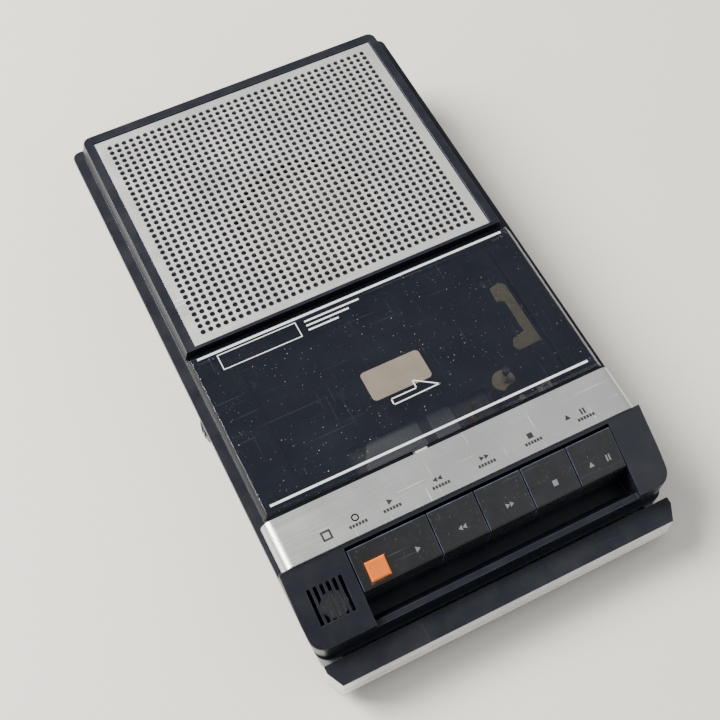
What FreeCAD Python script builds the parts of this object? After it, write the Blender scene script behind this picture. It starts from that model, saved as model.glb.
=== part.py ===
import FreeCAD, Part
import os
import re
import Sketcher

# A flat desk cassette recorder. X runs across it, +Y points to the rear (the speaker end) and +Z up.
# The origin is on the table, under the middle of the whole machine.
os.makedirs("parts", exist_ok=True)
doc = FreeCAD.newDocument("cassette_recorder")
sheet = doc.addObject("Spreadsheet::Sheet", "sizes")

# Every size that can be set by itself, in millimetres (degrees for slopes).
SIZES = {
    # whole machine
    "case_wide": 139,
    "overall_deep": 235,
    "case_high": 41,
    "wall": 2.2,
    "foot_high": 1.5,
    "foot_radius": 6,
    "fit_gap": 0.25,
    "moving_gap": 0.5,
    "pin_gap": 0.05,
    # raised slab and brim
    "slab_rise": 7.6,
    "slab_wide": 130.5,
    "slab_lean": 1.05,
    "slab_lean_high": 4,
    "brim_rear": 1.3,
    "brim_corner": 3,
    "base_taper": 3.2,
    "front_corner": 5,
    # bands from the front of the handle to the slab
    "handle_deep": 8.5,
    "handle_rear_gap": 1.4,
    "housing_setback": 1,
    "trough_deep": 10.3,
    "key_deep": 13.2,
    "key_rear_gap": 2.5,
    "trim_deep": 17.9,
    "door_front_gap": 1.4,
    "door_deep": 67.4,
    "door_rear_gap": 2.3,
    # control block
    "block_drop": 1.2,
    "slope": 25,
    "step_high": 17,
    "lip_high": 25,
    "trough_floor": 1.6,
    "post_radius": 3,
    "post_side": 52.5,
    "post_end": 7.1,
    # trim
    "trim_thick": 0.8,
    "trim_wide": 135.8,
    "trim_round": 4,
    "trim_side": 5.2,
    # grille and speaker
    "grille_wide": 121,
    "grille_thick": 0.8,
    "grille_sunk": 0.5,
    "grille_margin": 1.5,
    "hole_radius": 1.05,
    "hole_step_wide": 3,
    "hole_step_deep": 2.76,
    "hole_margin": 3.9,
    "speaker_radius": 31.5,
    "speaker_from_slab": 34.1,
    "magnet_radius": 17,
    "magnet_high": 14,
    # door
    "door_wide": 132,
    "door_thick": 2.5,
    "door_bevel_wide": 1.7,
    "door_bevel_high": 2.1,
    "door_seat_gap": 0.3,
    "door_corner": 2.4,
    "door_edge_cut": 1.4,
    "door_front_cut": 0.8,
    "door_under_cut": 0.8,
    "latch_middle": -6.95,
    "latch_wide": 4.5,
    "latch_bar_thick": 1.5,
    "hinge_from_rear": 1.7,
    "hinge_from_top": 4.6,
    "hinge_radius": 0.9,
    "hinge_side": 60,
    "lug_wide": 4,
    "lug_radius": 1.9,
    "hinge_round": 1.8,
    # cassette well and deck
    "cassette_middle": 2.3,
    "well_wide": 106.1,
    "well_front_edge": 0.9,
    "well_rear_edge": 1.5,
    "rib": 1.5,
    "deck_down": 13,
    "cover_thick": 1.4,
    "chassis_thick": 1.2,
    "chassis_gap": 1.2,
    "hub_gap": 42.5,
    "hub_from_door": 34.1,
    "spindle_high": 9,
    "spindle_radius": 3.4,
    "hub_flange": 6,
    "turntable_radius": 12,
    "turntable_thick": 3,
    "turntable_down": 8,
    "axle_radius": 1.5,
    "capstan_side": 33.4,
    "capstan_from_hubs": 18.5,
    "capstan_radius": 1.25,
    "bearing_radius": 4.25,
    "flywheel_radius": 22,
    "flywheel_thick": 5,
    "flywheel_hub": 4,
    "idler_radius": 5,
    "idler_gap": 0.3,
    "motor_side": 38,
    "motor_from_hubs": 22,
    "motor_radius": 17,
    "motor_high": 12,
    "pulley_radius": 3,
    "belt_thick": 0.6,
    "belt_wide": 2.4,
    "roller_radius": 6.5,
    "roller_high": 6,
    "arm_long": 12,
    "carriage_travel": 4,
    # keys
    "keys_left": -46,
    "wide_key": 29.2,
    "narrow_key": 17.55,
    "key_gap": 0.5,
    "key_proud": 0.3,
    "key_wall": 2,
    "key_low": 22.6,
    "pivot_back": 24.3,
    "pivot_down": 10,
    "shaft_radius": 1.5,
    "button_side": 7.4,
    "button_deep": 6.4,
    "button_from_left": 3.6,
    "button_from_front": 1.4,
    "button_proud": 1,
    # microphone
    "mic_slots": 6,
    "mic_slot_wide": 1.35,
    "mic_slot_step": 2.3,
    "mic_slot_long": 11.6,
    "mic_slot_left": 6,
    "mic_slot_front": 6.7,
    "mic_radius": 4.8,
    # power
    "cell_long": 50,
    "cell_radius": 13.1,
    "cell_gap": 0.2,
    "contact_room": 2.5,
    "tray_wall": 0.9,
    "tray_left": -62.5,
    "transformer_thick": 13,
    "transformer_deep": 32,
    "transformer_high": 24.5,
    "core_yoke": 5,
    "core_leg": 7,
    "core_end": 5,
    "winding_proud": 2,
    "winding_gap": 0.1,
    "inlet_deep": 12,
    "inlet_wide": 15,
    "inlet_high": 11.5,
    "inlet_wall": 1.5,
    "inlet_from_floor": 4.5,
    "inlet_gap": 3.9,
    # handle
    "handle_low": 6,
    "handle_top": 19,
    "handle_wide": 134.8,
    "handle_cut_wide": 3,
    "handle_cut_deep": 6,
    "strip_thick": 0.8,
    "strip_inset": 0.5,
    "arm_side": 61.5,
    "arm_thick": 3,
    "arm_low": 8.5,
    "arm_high": 6,
    "arm_reach": 59,
    # sockets and volume
    "jack_radius": 1.8,
    "remote_radius": 1.3,
    "jack_barrel": 4,
    "jack_step": 12,
    "volume_radius": 9,
    "volume_thick": 4,
}

# Places and lengths that follow from the sizes.
PLACES = {
    "half_wide": "case_wide / 2",
    "slab_half": "slab_wide / 2",
    "base_half": "half_wide - base_taper",
    "rear_y": "overall_deep / 2",
    "handle_front_y": "-overall_deep / 2",
    "handle_rear_y": "handle_front_y + handle_deep",
    "case_front_y": "handle_rear_y + handle_rear_gap",
    "upper_front_y": "case_front_y + housing_setback",
    "key_front_y": "upper_front_y + trough_deep",
    "key_rear_y": "key_front_y + key_deep",
    "trim_front_y": "key_rear_y + key_rear_gap",
    "trim_rear_y": "trim_front_y + trim_deep",
    "door_front_y": "trim_rear_y + door_front_gap",
    "door_rear_y": "door_front_y + door_deep",
    "slab_front_y": "door_rear_y + door_rear_gap",
    "slab_rear_y": "rear_y - brim_rear",
    "base_z": "foot_high",
    "floor_z": "foot_high + wall",
    "top_z": "case_high",
    "brim_top_z": "top_z - slab_rise",
    "brim_z": "brim_top_z - wall",
    "side_lean": "base_taper / (brim_z - base_z)",
    "step_half": "half_wide - side_lean * (brim_z - step_high)",
    "block_top_z": "top_z - block_drop",
    "block_lip_z": "block_top_z - (trim_front_y - upper_front_y) * tan(slope)",
    "slope_wall": "wall / cos(slope)",
    "seat_z": "top_z - door_thick - door_seat_gap",
    "seat_under_z": "seat_z - wall",
    "grille_z": "top_z - grille_sunk - grille_thick",
    "baffle_z": "grille_z - wall + 0.2",
    "opening_rear_y": "trim_front_y - key_rear_gap / 2",
    "key_opening_left": "keys_left - moving_gap",
    "keys_right": "keys_left + wide_key + 4 * (key_gap + narrow_key)",
    "key_opening_right": "keys_right + moving_gap",
    "grille_front_y": "slab_front_y + grille_margin",
    "grille_rear_y": "slab_rear_y - hole_margin",
    "speaker_y": "slab_front_y + speaker_from_slab",
    "hinge_y": "door_rear_y - hinge_from_rear",
    "hinge_z": "top_z - hinge_from_top",
    "well_left": "cassette_middle - well_wide / 2",
    "well_right": "cassette_middle + well_wide / 2",
    "well_front_y": "door_front_y + well_front_edge",
    "well_rear_y": "door_rear_y - well_rear_edge",
    "deck_z": "top_z - deck_down",
    "cover_z": "deck_z - cover_thick",
    "chassis_top_z": "cover_z - chassis_gap",
    "chassis_z": "chassis_top_z - chassis_thick",
    "hub_y": "door_rear_y - hub_from_door",
    "supply_x": "cassette_middle - hub_gap / 2",
    "take_up_x": "cassette_middle + hub_gap / 2",
    "turntable_z": "deck_z - turntable_down - turntable_thick",
    "capstan_x": "cassette_middle + capstan_side",
    "capstan_y": "hub_y - capstan_from_hubs",
    "flywheel_z": "floor_z + 3.8",
    "flywheel_top_z": "flywheel_z + flywheel_thick",
    "flywheel_hub_z": "turntable_z + turntable_thick",
    "motor_x": "-motor_side",
    "motor_y": "hub_y - motor_from_hubs",
    "motor_z": "chassis_z - motor_high",
    "belt_z": "flywheel_z + (flywheel_thick - belt_wide) / 2",
    "mesh_x": "take_up_x - capstan_x",
    "mesh_y": "hub_y - capstan_y",
    "mesh_long": "sqrt(mesh_x ^ 2 + mesh_y ^ 2)",
    "idler_from_capstan": "flywheel_hub + idler_gap + idler_radius",
    "idler_from_take_up": "turntable_radius + idler_gap + idler_radius",
    "idler_along": "(idler_from_capstan ^ 2 - idler_from_take_up ^ 2 + mesh_long ^ 2) / (2 * mesh_long)",
    "idler_across": "sqrt(idler_from_capstan ^ 2 - idler_along ^ 2)",
    "idler_x": "capstan_x + (idler_along * mesh_x + idler_across * mesh_y) / mesh_long",
    "idler_y": "capstan_y + (idler_along * mesh_y - idler_across * mesh_x) / mesh_long",
    "roller_x": "capstan_x",
    "roller_y": "capstan_y - capstan_radius - roller_radius - carriage_travel",
    "arm_pivot_x": "roller_x + arm_long",
    "arm_pivot_y": "roller_y + 2",
    "arm_z": "deck_z + 0.3",
    "carriage_z": "chassis_top_z + 0.1",
    "carriage_top_z": "carriage_z + 0.8",
    "head_y": "well_front_y - 5.5",
    "pivot_y": "key_front_y + pivot_back",
    "pivot_z": "top_z - pivot_down",
    "key_front_z": "block_top_z + key_proud - (trim_front_y - key_front_y) * tan(slope)",
    "key_rear_z": "block_top_z + key_proud - (trim_front_y - key_rear_y) * tan(slope)",
    "trough_z": "step_high + trough_floor",
    "button_left": "keys_left + button_from_left",
    "button_front_y": "key_front_y + button_from_front",
    "button_rear_y": "button_front_y + button_deep",
    "mic_left": "-half_wide + mic_slot_left",
    "mic_front_y": "upper_front_y + mic_slot_front",
    "mic_x": "mic_left + 3 * mic_slot_step + mic_slot_wide / 2",
    "mic_y": "mic_front_y + mic_slot_long / 2",
    "mic_top_z": "block_top_z - (trim_front_y - mic_y + mic_radius) * tan(slope) - slope_wall - 0.6",
    "tray_rear_y": "rear_y - wall - 0.1",
    "tray_front_y": "tray_rear_y - 2 * tray_wall - 4 * cell_radius - 2 * cell_gap",
    "tray_right": "tray_left + 2 * tray_wall + 2 * contact_room + 2 * cell_long + cell_gap",
    "cell_z": "floor_z + cell_radius",
    "tray_under_z": "cell_z + cell_radius + cell_gap",
    "transformer_x": "tray_right + 3.4",
    "transformer_y": "rear_y - inlet_deep - inlet_gap - transformer_deep",
    "core_low": "floor_z + 0.5",
    "core_top": "core_low + transformer_high",
    "inlet_left": "transformer_x - 1",
    "inlet_right": "inlet_left + inlet_wide",
    "inlet_low": "floor_z + inlet_from_floor",
    "inlet_top": "inlet_low + inlet_high",
    "arm_front_y": "handle_rear_y",
    "arm_rear_y": "handle_rear_y + arm_reach",
    "jack_x": "base_half + 0.9",
    "jack_z": "floor_z + 13",
    "jack_y": "hub_y - 4",
    "volume_x": "-half_wide + volume_radius",
    "volume_y": "hub_y + 16",
    "volume_z": "jack_z",
    "post_front_y": "trim_rear_y - 3.3",
    "post_rear_y": "slab_front_y + 3.6",
    "post_rear_side": "slab_half - wall - 2.2",
}


def formula(text):
    """An expression for the sheet, from one written in plain names."""

    def swap(match):
        word = match.group(0)
        if word in PLACES:
            return "(" + formula(PLACES[word]) + ")"
        if word in SIZES:
            return "sizes." + word
        return word

    return re.sub(r"[a-z][a-z0-9_]*", swap, str(text))


def number(text):
    """The value of an expression now."""
    found = sheet.evalExpression(formula(text))
    return float(getattr(found, "Value", found))


def bind(thing, field, text):
    thing.setExpression(field, formula(text))


for row, (name, value) in enumerate(SIZES.items(), start=1):
    sheet.set(f"A{row}", name)
    sheet.set(f"B{row}", str(value))
    sheet.setAlias(f"B{row}", name)
doc.recompute()

pieces = []


def keep(thing, name):
    """Names a finished piece, which is then a node of its own."""
    thing.Label = name
    pieces.append(thing)
    return thing


def rect(left, right, low, high):
    return [(left, low), (right, low), (right, high), (left, high)]


def circle(across, up, radius):
    return {"across": across, "up": up, "radius": radius}


class Piece:
    """A PartDesign body made of prisms, cuts and turned shapes, each with its own sketch."""

    # plane: the origin plane's role, and whether its normal points along the axis or against it
    PLANES = {"XY": ("XY_Plane", 1), "XZ": ("XZ_Plane", -1), "YZ": ("YZ_Plane", 1)}

    def __init__(self, name):
        self.name = name
        self.body = doc.addObject("PartDesign::Body", name)
        keep(self.body, name)

    def sketch(self, plane, outlines, place):
        role, sign = self.PLANES[plane]
        sketch = self.body.newObject("Sketcher::SketchObject", self.name + "_sketch")
        origin_plane = [f for f in self.body.Origin.OriginFeatures if f.Role == role][0]
        sketch.AttachmentSupport = (origin_plane, [""])
        sketch.MapMode = "FlatFace"
        bind(sketch, "AttachmentOffset.Base.z", f"{sign} * ({place})")
        for outline in outlines:
            if isinstance(outline, dict):
                self.add_circle(sketch, outline)
            else:
                self.add_polygon(sketch, outline)
        return sketch

    def add_circle(self, sketch, outline):
        centre = FreeCAD.Vector(number(outline["across"]), number(outline["up"]), 0)
        radius = number(outline["radius"])
        index = sketch.addGeometry(Part.Circle(centre, FreeCAD.Vector(0, 0, 1), radius), False)
        self.pin(sketch, index, 3, outline["across"], outline["up"])
        size = sketch.addConstraint(Sketcher.Constraint("Radius", index, radius))
        bind(sketch, f"Constraints[{size}]", outline["radius"])

    def add_polygon(self, sketch, outline):
        points = [FreeCAD.Vector(number(a), number(b), 0) for a, b in outline]
        count = len(points)
        lines = [Part.LineSegment(points[i], points[(i + 1) % count]) for i in range(count)]
        first = sketch.addGeometry(lines, False)[0]
        for i in range(count):
            following = first + (i + 1) % count
            sketch.addConstraint(Sketcher.Constraint("Coincident", first + i, 2, following, 1))
        for i, (across, up) in enumerate(outline):
            self.pin(sketch, first + i, 1, across, up)

    def pin(self, sketch, index, point, across, up):
        """Holds a point of the sketch at two distances from the origin."""
        for kind, text in (("DistanceX", across), ("DistanceY", up)):
            made = sketch.addConstraint(
                Sketcher.Constraint(kind, -1, 1, index, point, number(text))
            )
            bind(sketch, f"Constraints[{made}]", text)

    def feature(self, kind, name, plane, outlines, start, length):
        sketch = self.sketch(plane, outlines, start)
        made = self.body.newObject(kind, f"{self.name}_{name}")
        made.Profile = sketch
        bind(made, "Length", length)
        doc.recompute()
        return made

    def pad(self, plane, outlines, low, high):
        """Adds a prism from low to high along the plane's axis."""
        start = high if plane == "XZ" else low
        return self.feature("PartDesign::Pad", "pad", plane, outlines, start, f"({high}) - ({low})")

    def pocket(self, plane, outlines, low, high):
        """Cuts a prism from low to high along the plane's axis, and checks that it cut."""
        before = self.body.Shape.Volume
        start = low if plane == "XZ" else high
        made = self.feature(
            "PartDesign::Pocket", "pocket", plane, outlines, start, f"({high}) - ({low})"
        )
        if self.body.Shape.Volume > before - 1e-3:
            raise RuntimeError(f"{made.Name} cuts nothing")
        return made

    def edges(self, points):
        """The names of the edges that pass through the given points."""
        spots = [Part.Vertex(*[number(part) for part in point]) for point in points]
        return [
            f"Edge{index}"
            for index, edge in enumerate(self.body.Shape.Edges, start=1)
            if any(edge.distToShape(spot)[0] < 0.02 for spot in spots)
        ]

    def dress(self, kind, field, size, points):
        base = (self.body.Tip, self.edges(points))
        made = self.body.newObject(kind, f"{self.name}_edge")
        made.Base = base
        bind(made, field, size)
        doc.recompute()
        if not base[1] or "Invalid" in made.State:
            raise RuntimeError(f"{made.Name} rounds or bevels nothing")
        return made

    def fillet(self, radius, points):
        return self.dress("PartDesign::Fillet", "Radius", radius, points)

    def chamfer(self, size, points):
        return self.dress("PartDesign::Chamfer", "Size", size, points)

    def turn(self, outline, across, up):
        """Revolves an outline of (radius, height) points about an upright axis at (across, up)."""
        shifted = [(f"({across}) + ({r})", z) for r, z in outline]
        sketch = self.sketch("XZ", [shifted], up)
        sketch.addGeometry(
            Part.LineSegment(
                FreeCAD.Vector(number(across), 0, 0), FreeCAD.Vector(number(across), 50, 0)
            ),
            True,
        )
        axis = len(sketch.Geometry) - 1
        self.pin(sketch, axis, 1, across, "0")
        self.pin(sketch, axis, 2, across, "50")
        made = self.body.newObject("PartDesign::Revolution", f"{self.name}_turned")
        made.Profile = sketch
        made.ReferenceAxis = (sketch, ["Axis0"])
        made.Angle = 360
        doc.recompute()
        return made


def block(left, right, front, rear, low, high, name="block"):
    """A plain box between pairs of faces."""
    made = doc.addObject("Part::Box", name)
    bind(made, "Length", f"({right}) - ({left})")
    bind(made, "Width", f"({rear}) - ({front})")
    bind(made, "Height", f"({high}) - ({low})")
    bind(made, "Placement.Base.x", left)
    bind(made, "Placement.Base.y", front)
    bind(made, "Placement.Base.z", low)
    return made


TURNS = {
    "Z": FreeCAD.Rotation(),
    "X": FreeCAD.Rotation(FreeCAD.Vector(0, 1, 0), 90),
    "Y": FreeCAD.Rotation(FreeCAD.Vector(1, 0, 0), -90),
}


def rod(axis, place, long, radius, name="rod"):
    """A cylinder that starts at place and runs along an axis."""
    made = doc.addObject("Part::Cylinder", name)
    made.Placement = FreeCAD.Placement(FreeCAD.Vector(), TURNS[axis])
    bind(made, "Radius", radius)
    bind(made, "Height", long)
    for letter, text in zip("xyz", place, strict=True):
        bind(made, f"Placement.Base.{letter}", text)
    return made


def upright(across, along, low, high, radius, name="rod"):
    return rod("Z", (across, along, low), f"({high}) - ({low})", radius, name)


def fuse(name, things):
    made = doc.addObject("Part::MultiFuse", name)
    made.Shapes = things
    return made


def cut(name, base, tools):
    made = doc.addObject("Part::Cut", name)
    made.Base = base
    made.Tool = tools[0] if len(tools) == 1 else fuse(name + "_tools", tools)
    return made


def group(name, things):
    """Separate solids that share one node."""
    made = doc.addObject("Part::Compound", name)
    made.Links = things
    return keep(made, name)


def feature(name, shape):
    made = doc.addObject("Part::Feature", name)
    made.Shape = shape
    return keep(made, name)


def both_sides(distance):
    return (f"-({distance})", distance)


# The sloping line of the control block, as a height at a given depth.
def slope_z(along):
    return f"block_top_z - (trim_front_y - ({along})) * tan(slope)"


POSTS = [(x, "post_front_y") for x in both_sides("post_side")]
POSTS += [(x, "post_rear_y") for x in both_sides("post_rear_side")]
CHASSIS_POSTS = [("-47", "hub_y + 22"), ("cassette_middle + 48", "hub_y + 22"), ("-5", "post_front_y")]
BOARD_CORNERS = [(x, y) for x in both_sides(44) for y in ("speaker_y - 24", "speaker_y + 13")]


def upper_case():
    case = Piece("upper_case")
    case.pad("XY", [rect("-half_wide", "half_wide", "trim_front_y", "rear_y")], "brim_z", "brim_top_z")
    case.fillet("brim_corner", [(x, "rear_y", "brim_z + wall / 2") for x in both_sides("half_wide")])
    slab = [
        ("-slab_half", "brim_z"),
        ("slab_half", "brim_z"),
        ("slab_half", "top_z - slab_lean_high"),
        ("slab_half - slab_lean", "top_z"),
        ("slab_lean - slab_half", "top_z"),
        ("-slab_half", "top_z - slab_lean_high"),
    ]
    case.pad("XZ", [slab], "trim_rear_y", "slab_rear_y")
    case.fillet(
        "brim_corner",
        [(x, "slab_rear_y", "brim_top_z + 1") for x in both_sides("slab_half")]
        + [
            (x, "slab_rear_y", "top_z - slab_lean_high / 2")
            for x in both_sides("slab_half - slab_lean / 2")
        ],
    )
    side = [
        ("trim_front_y", "brim_z"),
        ("trim_front_y", "block_top_z"),
        ("upper_front_y", "block_lip_z"),
        ("upper_front_y", "step_high"),
        ("opening_rear_y", "step_high"),
        ("opening_rear_y", "brim_z"),
    ]
    case.pad("YZ", [side], "-half_wide", "half_wide")
    for sign in ("", "-"):
        lean = [
            (f"{sign}(half_wide)", "brim_z"),
            (f"{sign}(step_half)", "step_high"),
            (f"{sign}(half_wide + 1)", "step_high"),
            (f"{sign}(half_wide + 1)", "brim_z"),
        ]
        case.pocket("XZ", [lean], "upper_front_y - 1", "opening_rear_y")
    corners = [(x, "upper_front_y", "brim_z - 7") for x in both_sides("half_wide - side_lean * 7")]
    if number("block_lip_z") > number("brim_z"):
        corners += [(x, "upper_front_y", "block_lip_z - 0.5") for x in both_sides("half_wide")]
    case.fillet("front_corner", corners)
    rim = [("0", "upper_front_y", "block_lip_z")]
    middle_y = "(trim_front_y + upper_front_y) / 2"
    rim += [(x, middle_y, slope_z(middle_y)) for x in both_sides("half_wide")]
    case.fillet("1", rim)
    inner = "trim_wide / 2 - trim_thick - pin_gap"
    round_off = "trim_round - trim_thick"
    under_trim = [
        (f"-({inner})", "brim_z"),
        (inner, "brim_z"),
        (inner, f"block_top_z - ({round_off})"),
        (f"{inner} - ({round_off})", "block_top_z"),
        (f"-({inner}) + {round_off}", "block_top_z"),
        (f"-({inner})", f"block_top_z - ({round_off})"),
    ]
    case.pad("XZ", [under_trim], "trim_front_y", "trim_rear_y")
    hollow_upper_case(case)
    close_key_bay(case)
    open_cassette_well(case)
    fit_grille_and_speaker(case)
    left_slots = [
        rect(
            f"mic_left + {i} * mic_slot_step",
            f"mic_left + {i} * mic_slot_step + mic_slot_wide",
            "mic_front_y",
            "mic_front_y + mic_slot_long",
        )
        for i in range(int(SIZES["mic_slots"]))
    ]
    case.pocket("XY", left_slots, "block_lip_z - wall", "top_z")
    slot_half = "(latch_wide / 2 + moving_gap)"
    latch_slot = rect(
        f"latch_middle - {slot_half}",
        f"latch_middle + {slot_half}",
        "trim_rear_y - wall",
        "well_front_y + 0.1",
    )
    case.pocket("XY", [latch_slot], "seat_under_z - 1", "top_z")
    front_posts = [circle(x, y, "post_radius") for x, y in POSTS[:2]]
    case.pad("XY", front_posts, "post_end", "block_top_z - wall + 0.1")
    rear_posts = [circle(x, y, "post_radius") for x, y in POSTS[2:]]
    case.pad("XY", rear_posts, "post_end", "baffle_z + 0.1")
    case.pocket("XY", [circle(x, y, "1.3") for x, y in POSTS], "post_end", "post_end + 12")


def hollow_upper_case(case):
    inner = "slab_half - wall"
    room = rect(f"-({inner})", inner, "slab_front_y + wall", "slab_rear_y - wall")
    case.pocket("XY", [room], "brim_z", "baffle_z")
    room = rect(f"-({inner})", inner, "trim_rear_y + wall", "slab_front_y + wall")
    case.pocket("XY", [room], "brim_z", "seat_under_z")
    under_trim = rect("opening_rear_y", "trim_rear_y + wall", "brim_z", "block_top_z - wall")
    reach = "trim_wide / 2 - trim_thick - wall"
    case.pocket("YZ", [under_trim], f"-({reach})", reach)
    front = "upper_front_y + wall"
    housing = [
        ("opening_rear_y", "step_high"),
        ("opening_rear_y", slope_z("opening_rear_y") + " - slope_wall"),
        (front, slope_z(front) + " - slope_wall"),
        (front, "step_high"),
    ]
    reach = "half_wide - wall - base_taper / 2"
    case.pocket("YZ", [housing], f"-({reach})", reach)


def close_key_bay(case):
    """The walls beside the keys, the bay that they sit in and the finger trough before them."""
    side = [
        ("opening_rear_y", "step_high"),
        ("opening_rear_y", slope_z("opening_rear_y")),
        ("upper_front_y", "block_lip_z"),
        ("upper_front_y", "step_high"),
    ]
    case.pad("YZ", [side], "key_opening_left - wall", "key_opening_left")
    case.pad("YZ", [side], "key_opening_right", "key_opening_right + wall")
    bay = rect("key_opening_left", "key_opening_right", "upper_front_y + wall", "opening_rear_y")
    case.pocket("XY", [bay], "step_high", "top_z")
    lip = rect("key_opening_left", "key_opening_right", "lip_high", "top_z")
    case.pocket("XZ", [lip], "upper_front_y", "upper_front_y + wall")
    ramp_rear = "upper_front_y + wall + 3.4"
    trough = [
        ("upper_front_y + wall / 2", "step_high"),
        ("key_rear_y - 1", "step_high"),
        ("key_rear_y - 1", "trough_z"),
        (ramp_rear, "trough_z"),
        ("upper_front_y + wall - 0.1", "lip_high - 1.5"),
        ("upper_front_y + wall / 2", "lip_high - 1.5"),
    ]
    case.pad("YZ", [trough], "key_opening_left - 1", "key_opening_right + 1")


def open_cassette_well(case):
    inner = "(slab_half - wall + 0.1)"
    bar = rect(f"-{inner}", inner, "hinge_y - 3", "slab_front_y + wall + 0.1")
    case.pad("XY", [bar], "hinge_z - lug_radius - 1.3", "seat_under_z + 0.1")
    ring = rect("well_left - rib", "well_right + rib", "trim_rear_y + 0.5", "well_rear_y + rib")
    case.pad("XY", [ring], "deck_z + 0.2", "seat_z")
    room = rect("well_left", "well_right", "well_front_y", "well_rear_y")
    case.pocket("XY", [room], "deck_z - 1", "top_z")
    head_gap = rect("-30", "well_right - 1", "deck_z - 1", "seat_under_z")
    case.pocket("XZ", [head_gap], "trim_rear_y - 1", "well_front_y + 0.1")
    seat = rect("-half_wide", "half_wide", "trim_rear_y", "slab_front_y")
    case.pocket("XY", [seat], "seat_z", "top_z + 1")
    swing_room = [
        ("hinge_y + 0.4", "seat_z + 0.1"),
        ("hinge_y + 0.4", "hinge_z + hinge_round"),
        ("hinge_y + hinge_round - 0.2", "hinge_z + 0.8"),
        ("hinge_y + hinge_round - 0.2", "hinge_z + 0.2"),
        ("slab_front_y", "hinge_z + 0.2"),
        ("slab_front_y", "seat_z + 0.1"),
    ]
    case.pocket("YZ", [swing_room], "-half_wide", "half_wide")
    slot_half = "(lug_wide / 2 + moving_gap / 2)"
    slots = [
        rect(f"{x} - {slot_half}", f"{x} + {slot_half}", "hinge_y - 2.6", "hinge_y + 2.8")
        for x in both_sides("hinge_side")
    ]
    case.pocket("XY", slots, "hinge_z - lug_radius - 0.4", "seat_z + 0.1")
    pin = circle("hinge_y", "hinge_z", "hinge_radius")
    for low, high in pin_spans():
        case.pocket("YZ", [pin], f"{low} - 0.1", f"{high} + 0.1")


def pin_spans():
    """Where the two short hinge pins lie along X."""
    reach = "(lug_wide / 2 + 1.9)"
    return [(f"{x} - {reach}", f"{x} + {reach}") for x in both_sides("hinge_side")]


def fit_grille_and_speaker(case):
    wide = "grille_wide / 2 + fit_gap"
    recess = rect(f"-({wide})", wide, "grille_front_y - fit_gap", "grille_rear_y + fit_gap")
    case.pocket("XY", [recess], "grille_z", "top_z + 1")
    case.pocket("XY", [circle("0", "speaker_y", "speaker_radius - 3")], "baffle_z - 1", "grille_z + 0.1")


def lower_case():
    case = Piece("lower_case")
    outer = [
        ("-base_half", "base_z"),
        ("base_half", "base_z"),
        ("half_wide", "brim_z"),
        ("-half_wide", "brim_z"),
    ]
    case.pad("XZ", [outer], "case_front_y", "rear_y")
    middle_z = "(base_z + brim_z) / 2"
    middle_x = "(base_half + half_wide) / 2"
    case.fillet("front_corner", [(x, "case_front_y", middle_z) for x in both_sides(middle_x)])
    case.fillet("brim_corner", [(x, "rear_y", middle_z) for x in both_sides(middle_x)])
    case.chamfer("1", [("0", "case_front_y", "base_z"), ("base_half", "0", "base_z")])
    front = rect("case_front_y - 1", "opening_rear_y", "step_high", "brim_z + 1")
    case.pocket("YZ", [front], "-half_wide - 1", "half_wide + 1")
    inner = [
        ("wall - base_half", "floor_z"),
        ("base_half - wall", "floor_z"),
        ("half_wide - wall", "brim_z + 1"),
        ("wall - half_wide", "brim_z + 1"),
    ]
    case.pocket("XZ", [inner], "case_front_y + wall", "rear_y - wall")
    open_battery_bay(case)
    guide_handle(case)
    posts = [circle(x, y, "post_radius + 1.5") for x, y in POSTS]
    case.pad("XY", posts, "floor_z - 0.1", "post_end - 0.1")
    case.pocket("XY", [circle(x, y, "post_radius + 0.3") for x, y in POSTS], "base_z", "floor_z + 0.4")
    case.pocket("XY", [circle(x, y, "1.7") for x, y in POSTS], "base_z", "post_end")
    case.pad("XY", [circle(x, y, "3") for x, y in CHASSIS_POSTS], "floor_z - 0.1", "chassis_z")
    case.pocket("XY", [circle(x, y, "1.3") for x, y in CHASSIS_POSTS], "chassis_z - 8", "chassis_z")
    case.pad("XY", [circle(x, y, "3") for x, y in BOARD_CORNERS], "floor_z - 0.1", "floor_z + 2.3")
    case.pad("XY", [circle("capstan_x", "capstan_y", "4")], "floor_z - 0.1", "floor_z + 1.7")
    sockets = [circle(f"jack_y + {i} * jack_step", "jack_z", "jack_barrel + fit_gap") for i in range(3)]
    case.pocket("YZ", sockets, "base_half - wall - 1", "half_wide + 1")
    slot = rect(
        "volume_y - volume_radius - moving_gap",
        "volume_y + volume_radius + moving_gap",
        "volume_z - moving_gap",
        "volume_z + volume_thick + moving_gap",
    )
    case.pocket("YZ", [slot], "-half_wide - 1", "wall + 3 - base_half")
    inlet = rect("inlet_left", "inlet_right", "inlet_low", "inlet_top")
    case.pocket("XZ", [inlet], "rear_y - wall - 1", "rear_y + 1")


def open_battery_bay(case):
    bay = rect("tray_left + tray_wall", "tray_right - tray_wall", "tray_front_y + tray_wall", "rear_y + 1")
    case.pocket("XY", [bay], "base_z - 1", "floor_z")


def guide_handle(case):
    """Slots in the front wall for the handle's arms, and the rails that they slide between."""
    holes, rails = [], []
    near = "arm_side - arm_thick / 2 - fit_gap"
    far = "arm_side + arm_thick / 2 + fit_gap"
    for sign in ("", "-"):
        ends = (f"{sign}({near})", f"{sign}({far})")
        left, right = ends if sign == "" else ends[::-1]
        holes.append(rect(left, right, "arm_low - fit_gap", "arm_low + arm_high + fit_gap"))
        rails.append(rect(f"{left} - 1.3", left, "case_front_y + 8", "arm_rear_y - 10"))
    case.pocket("XZ", holes, "case_front_y - 1", "case_front_y + wall + 1")
    case.pad("XY", rails, "floor_z - 0.1", "arm_low + arm_high")


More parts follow.
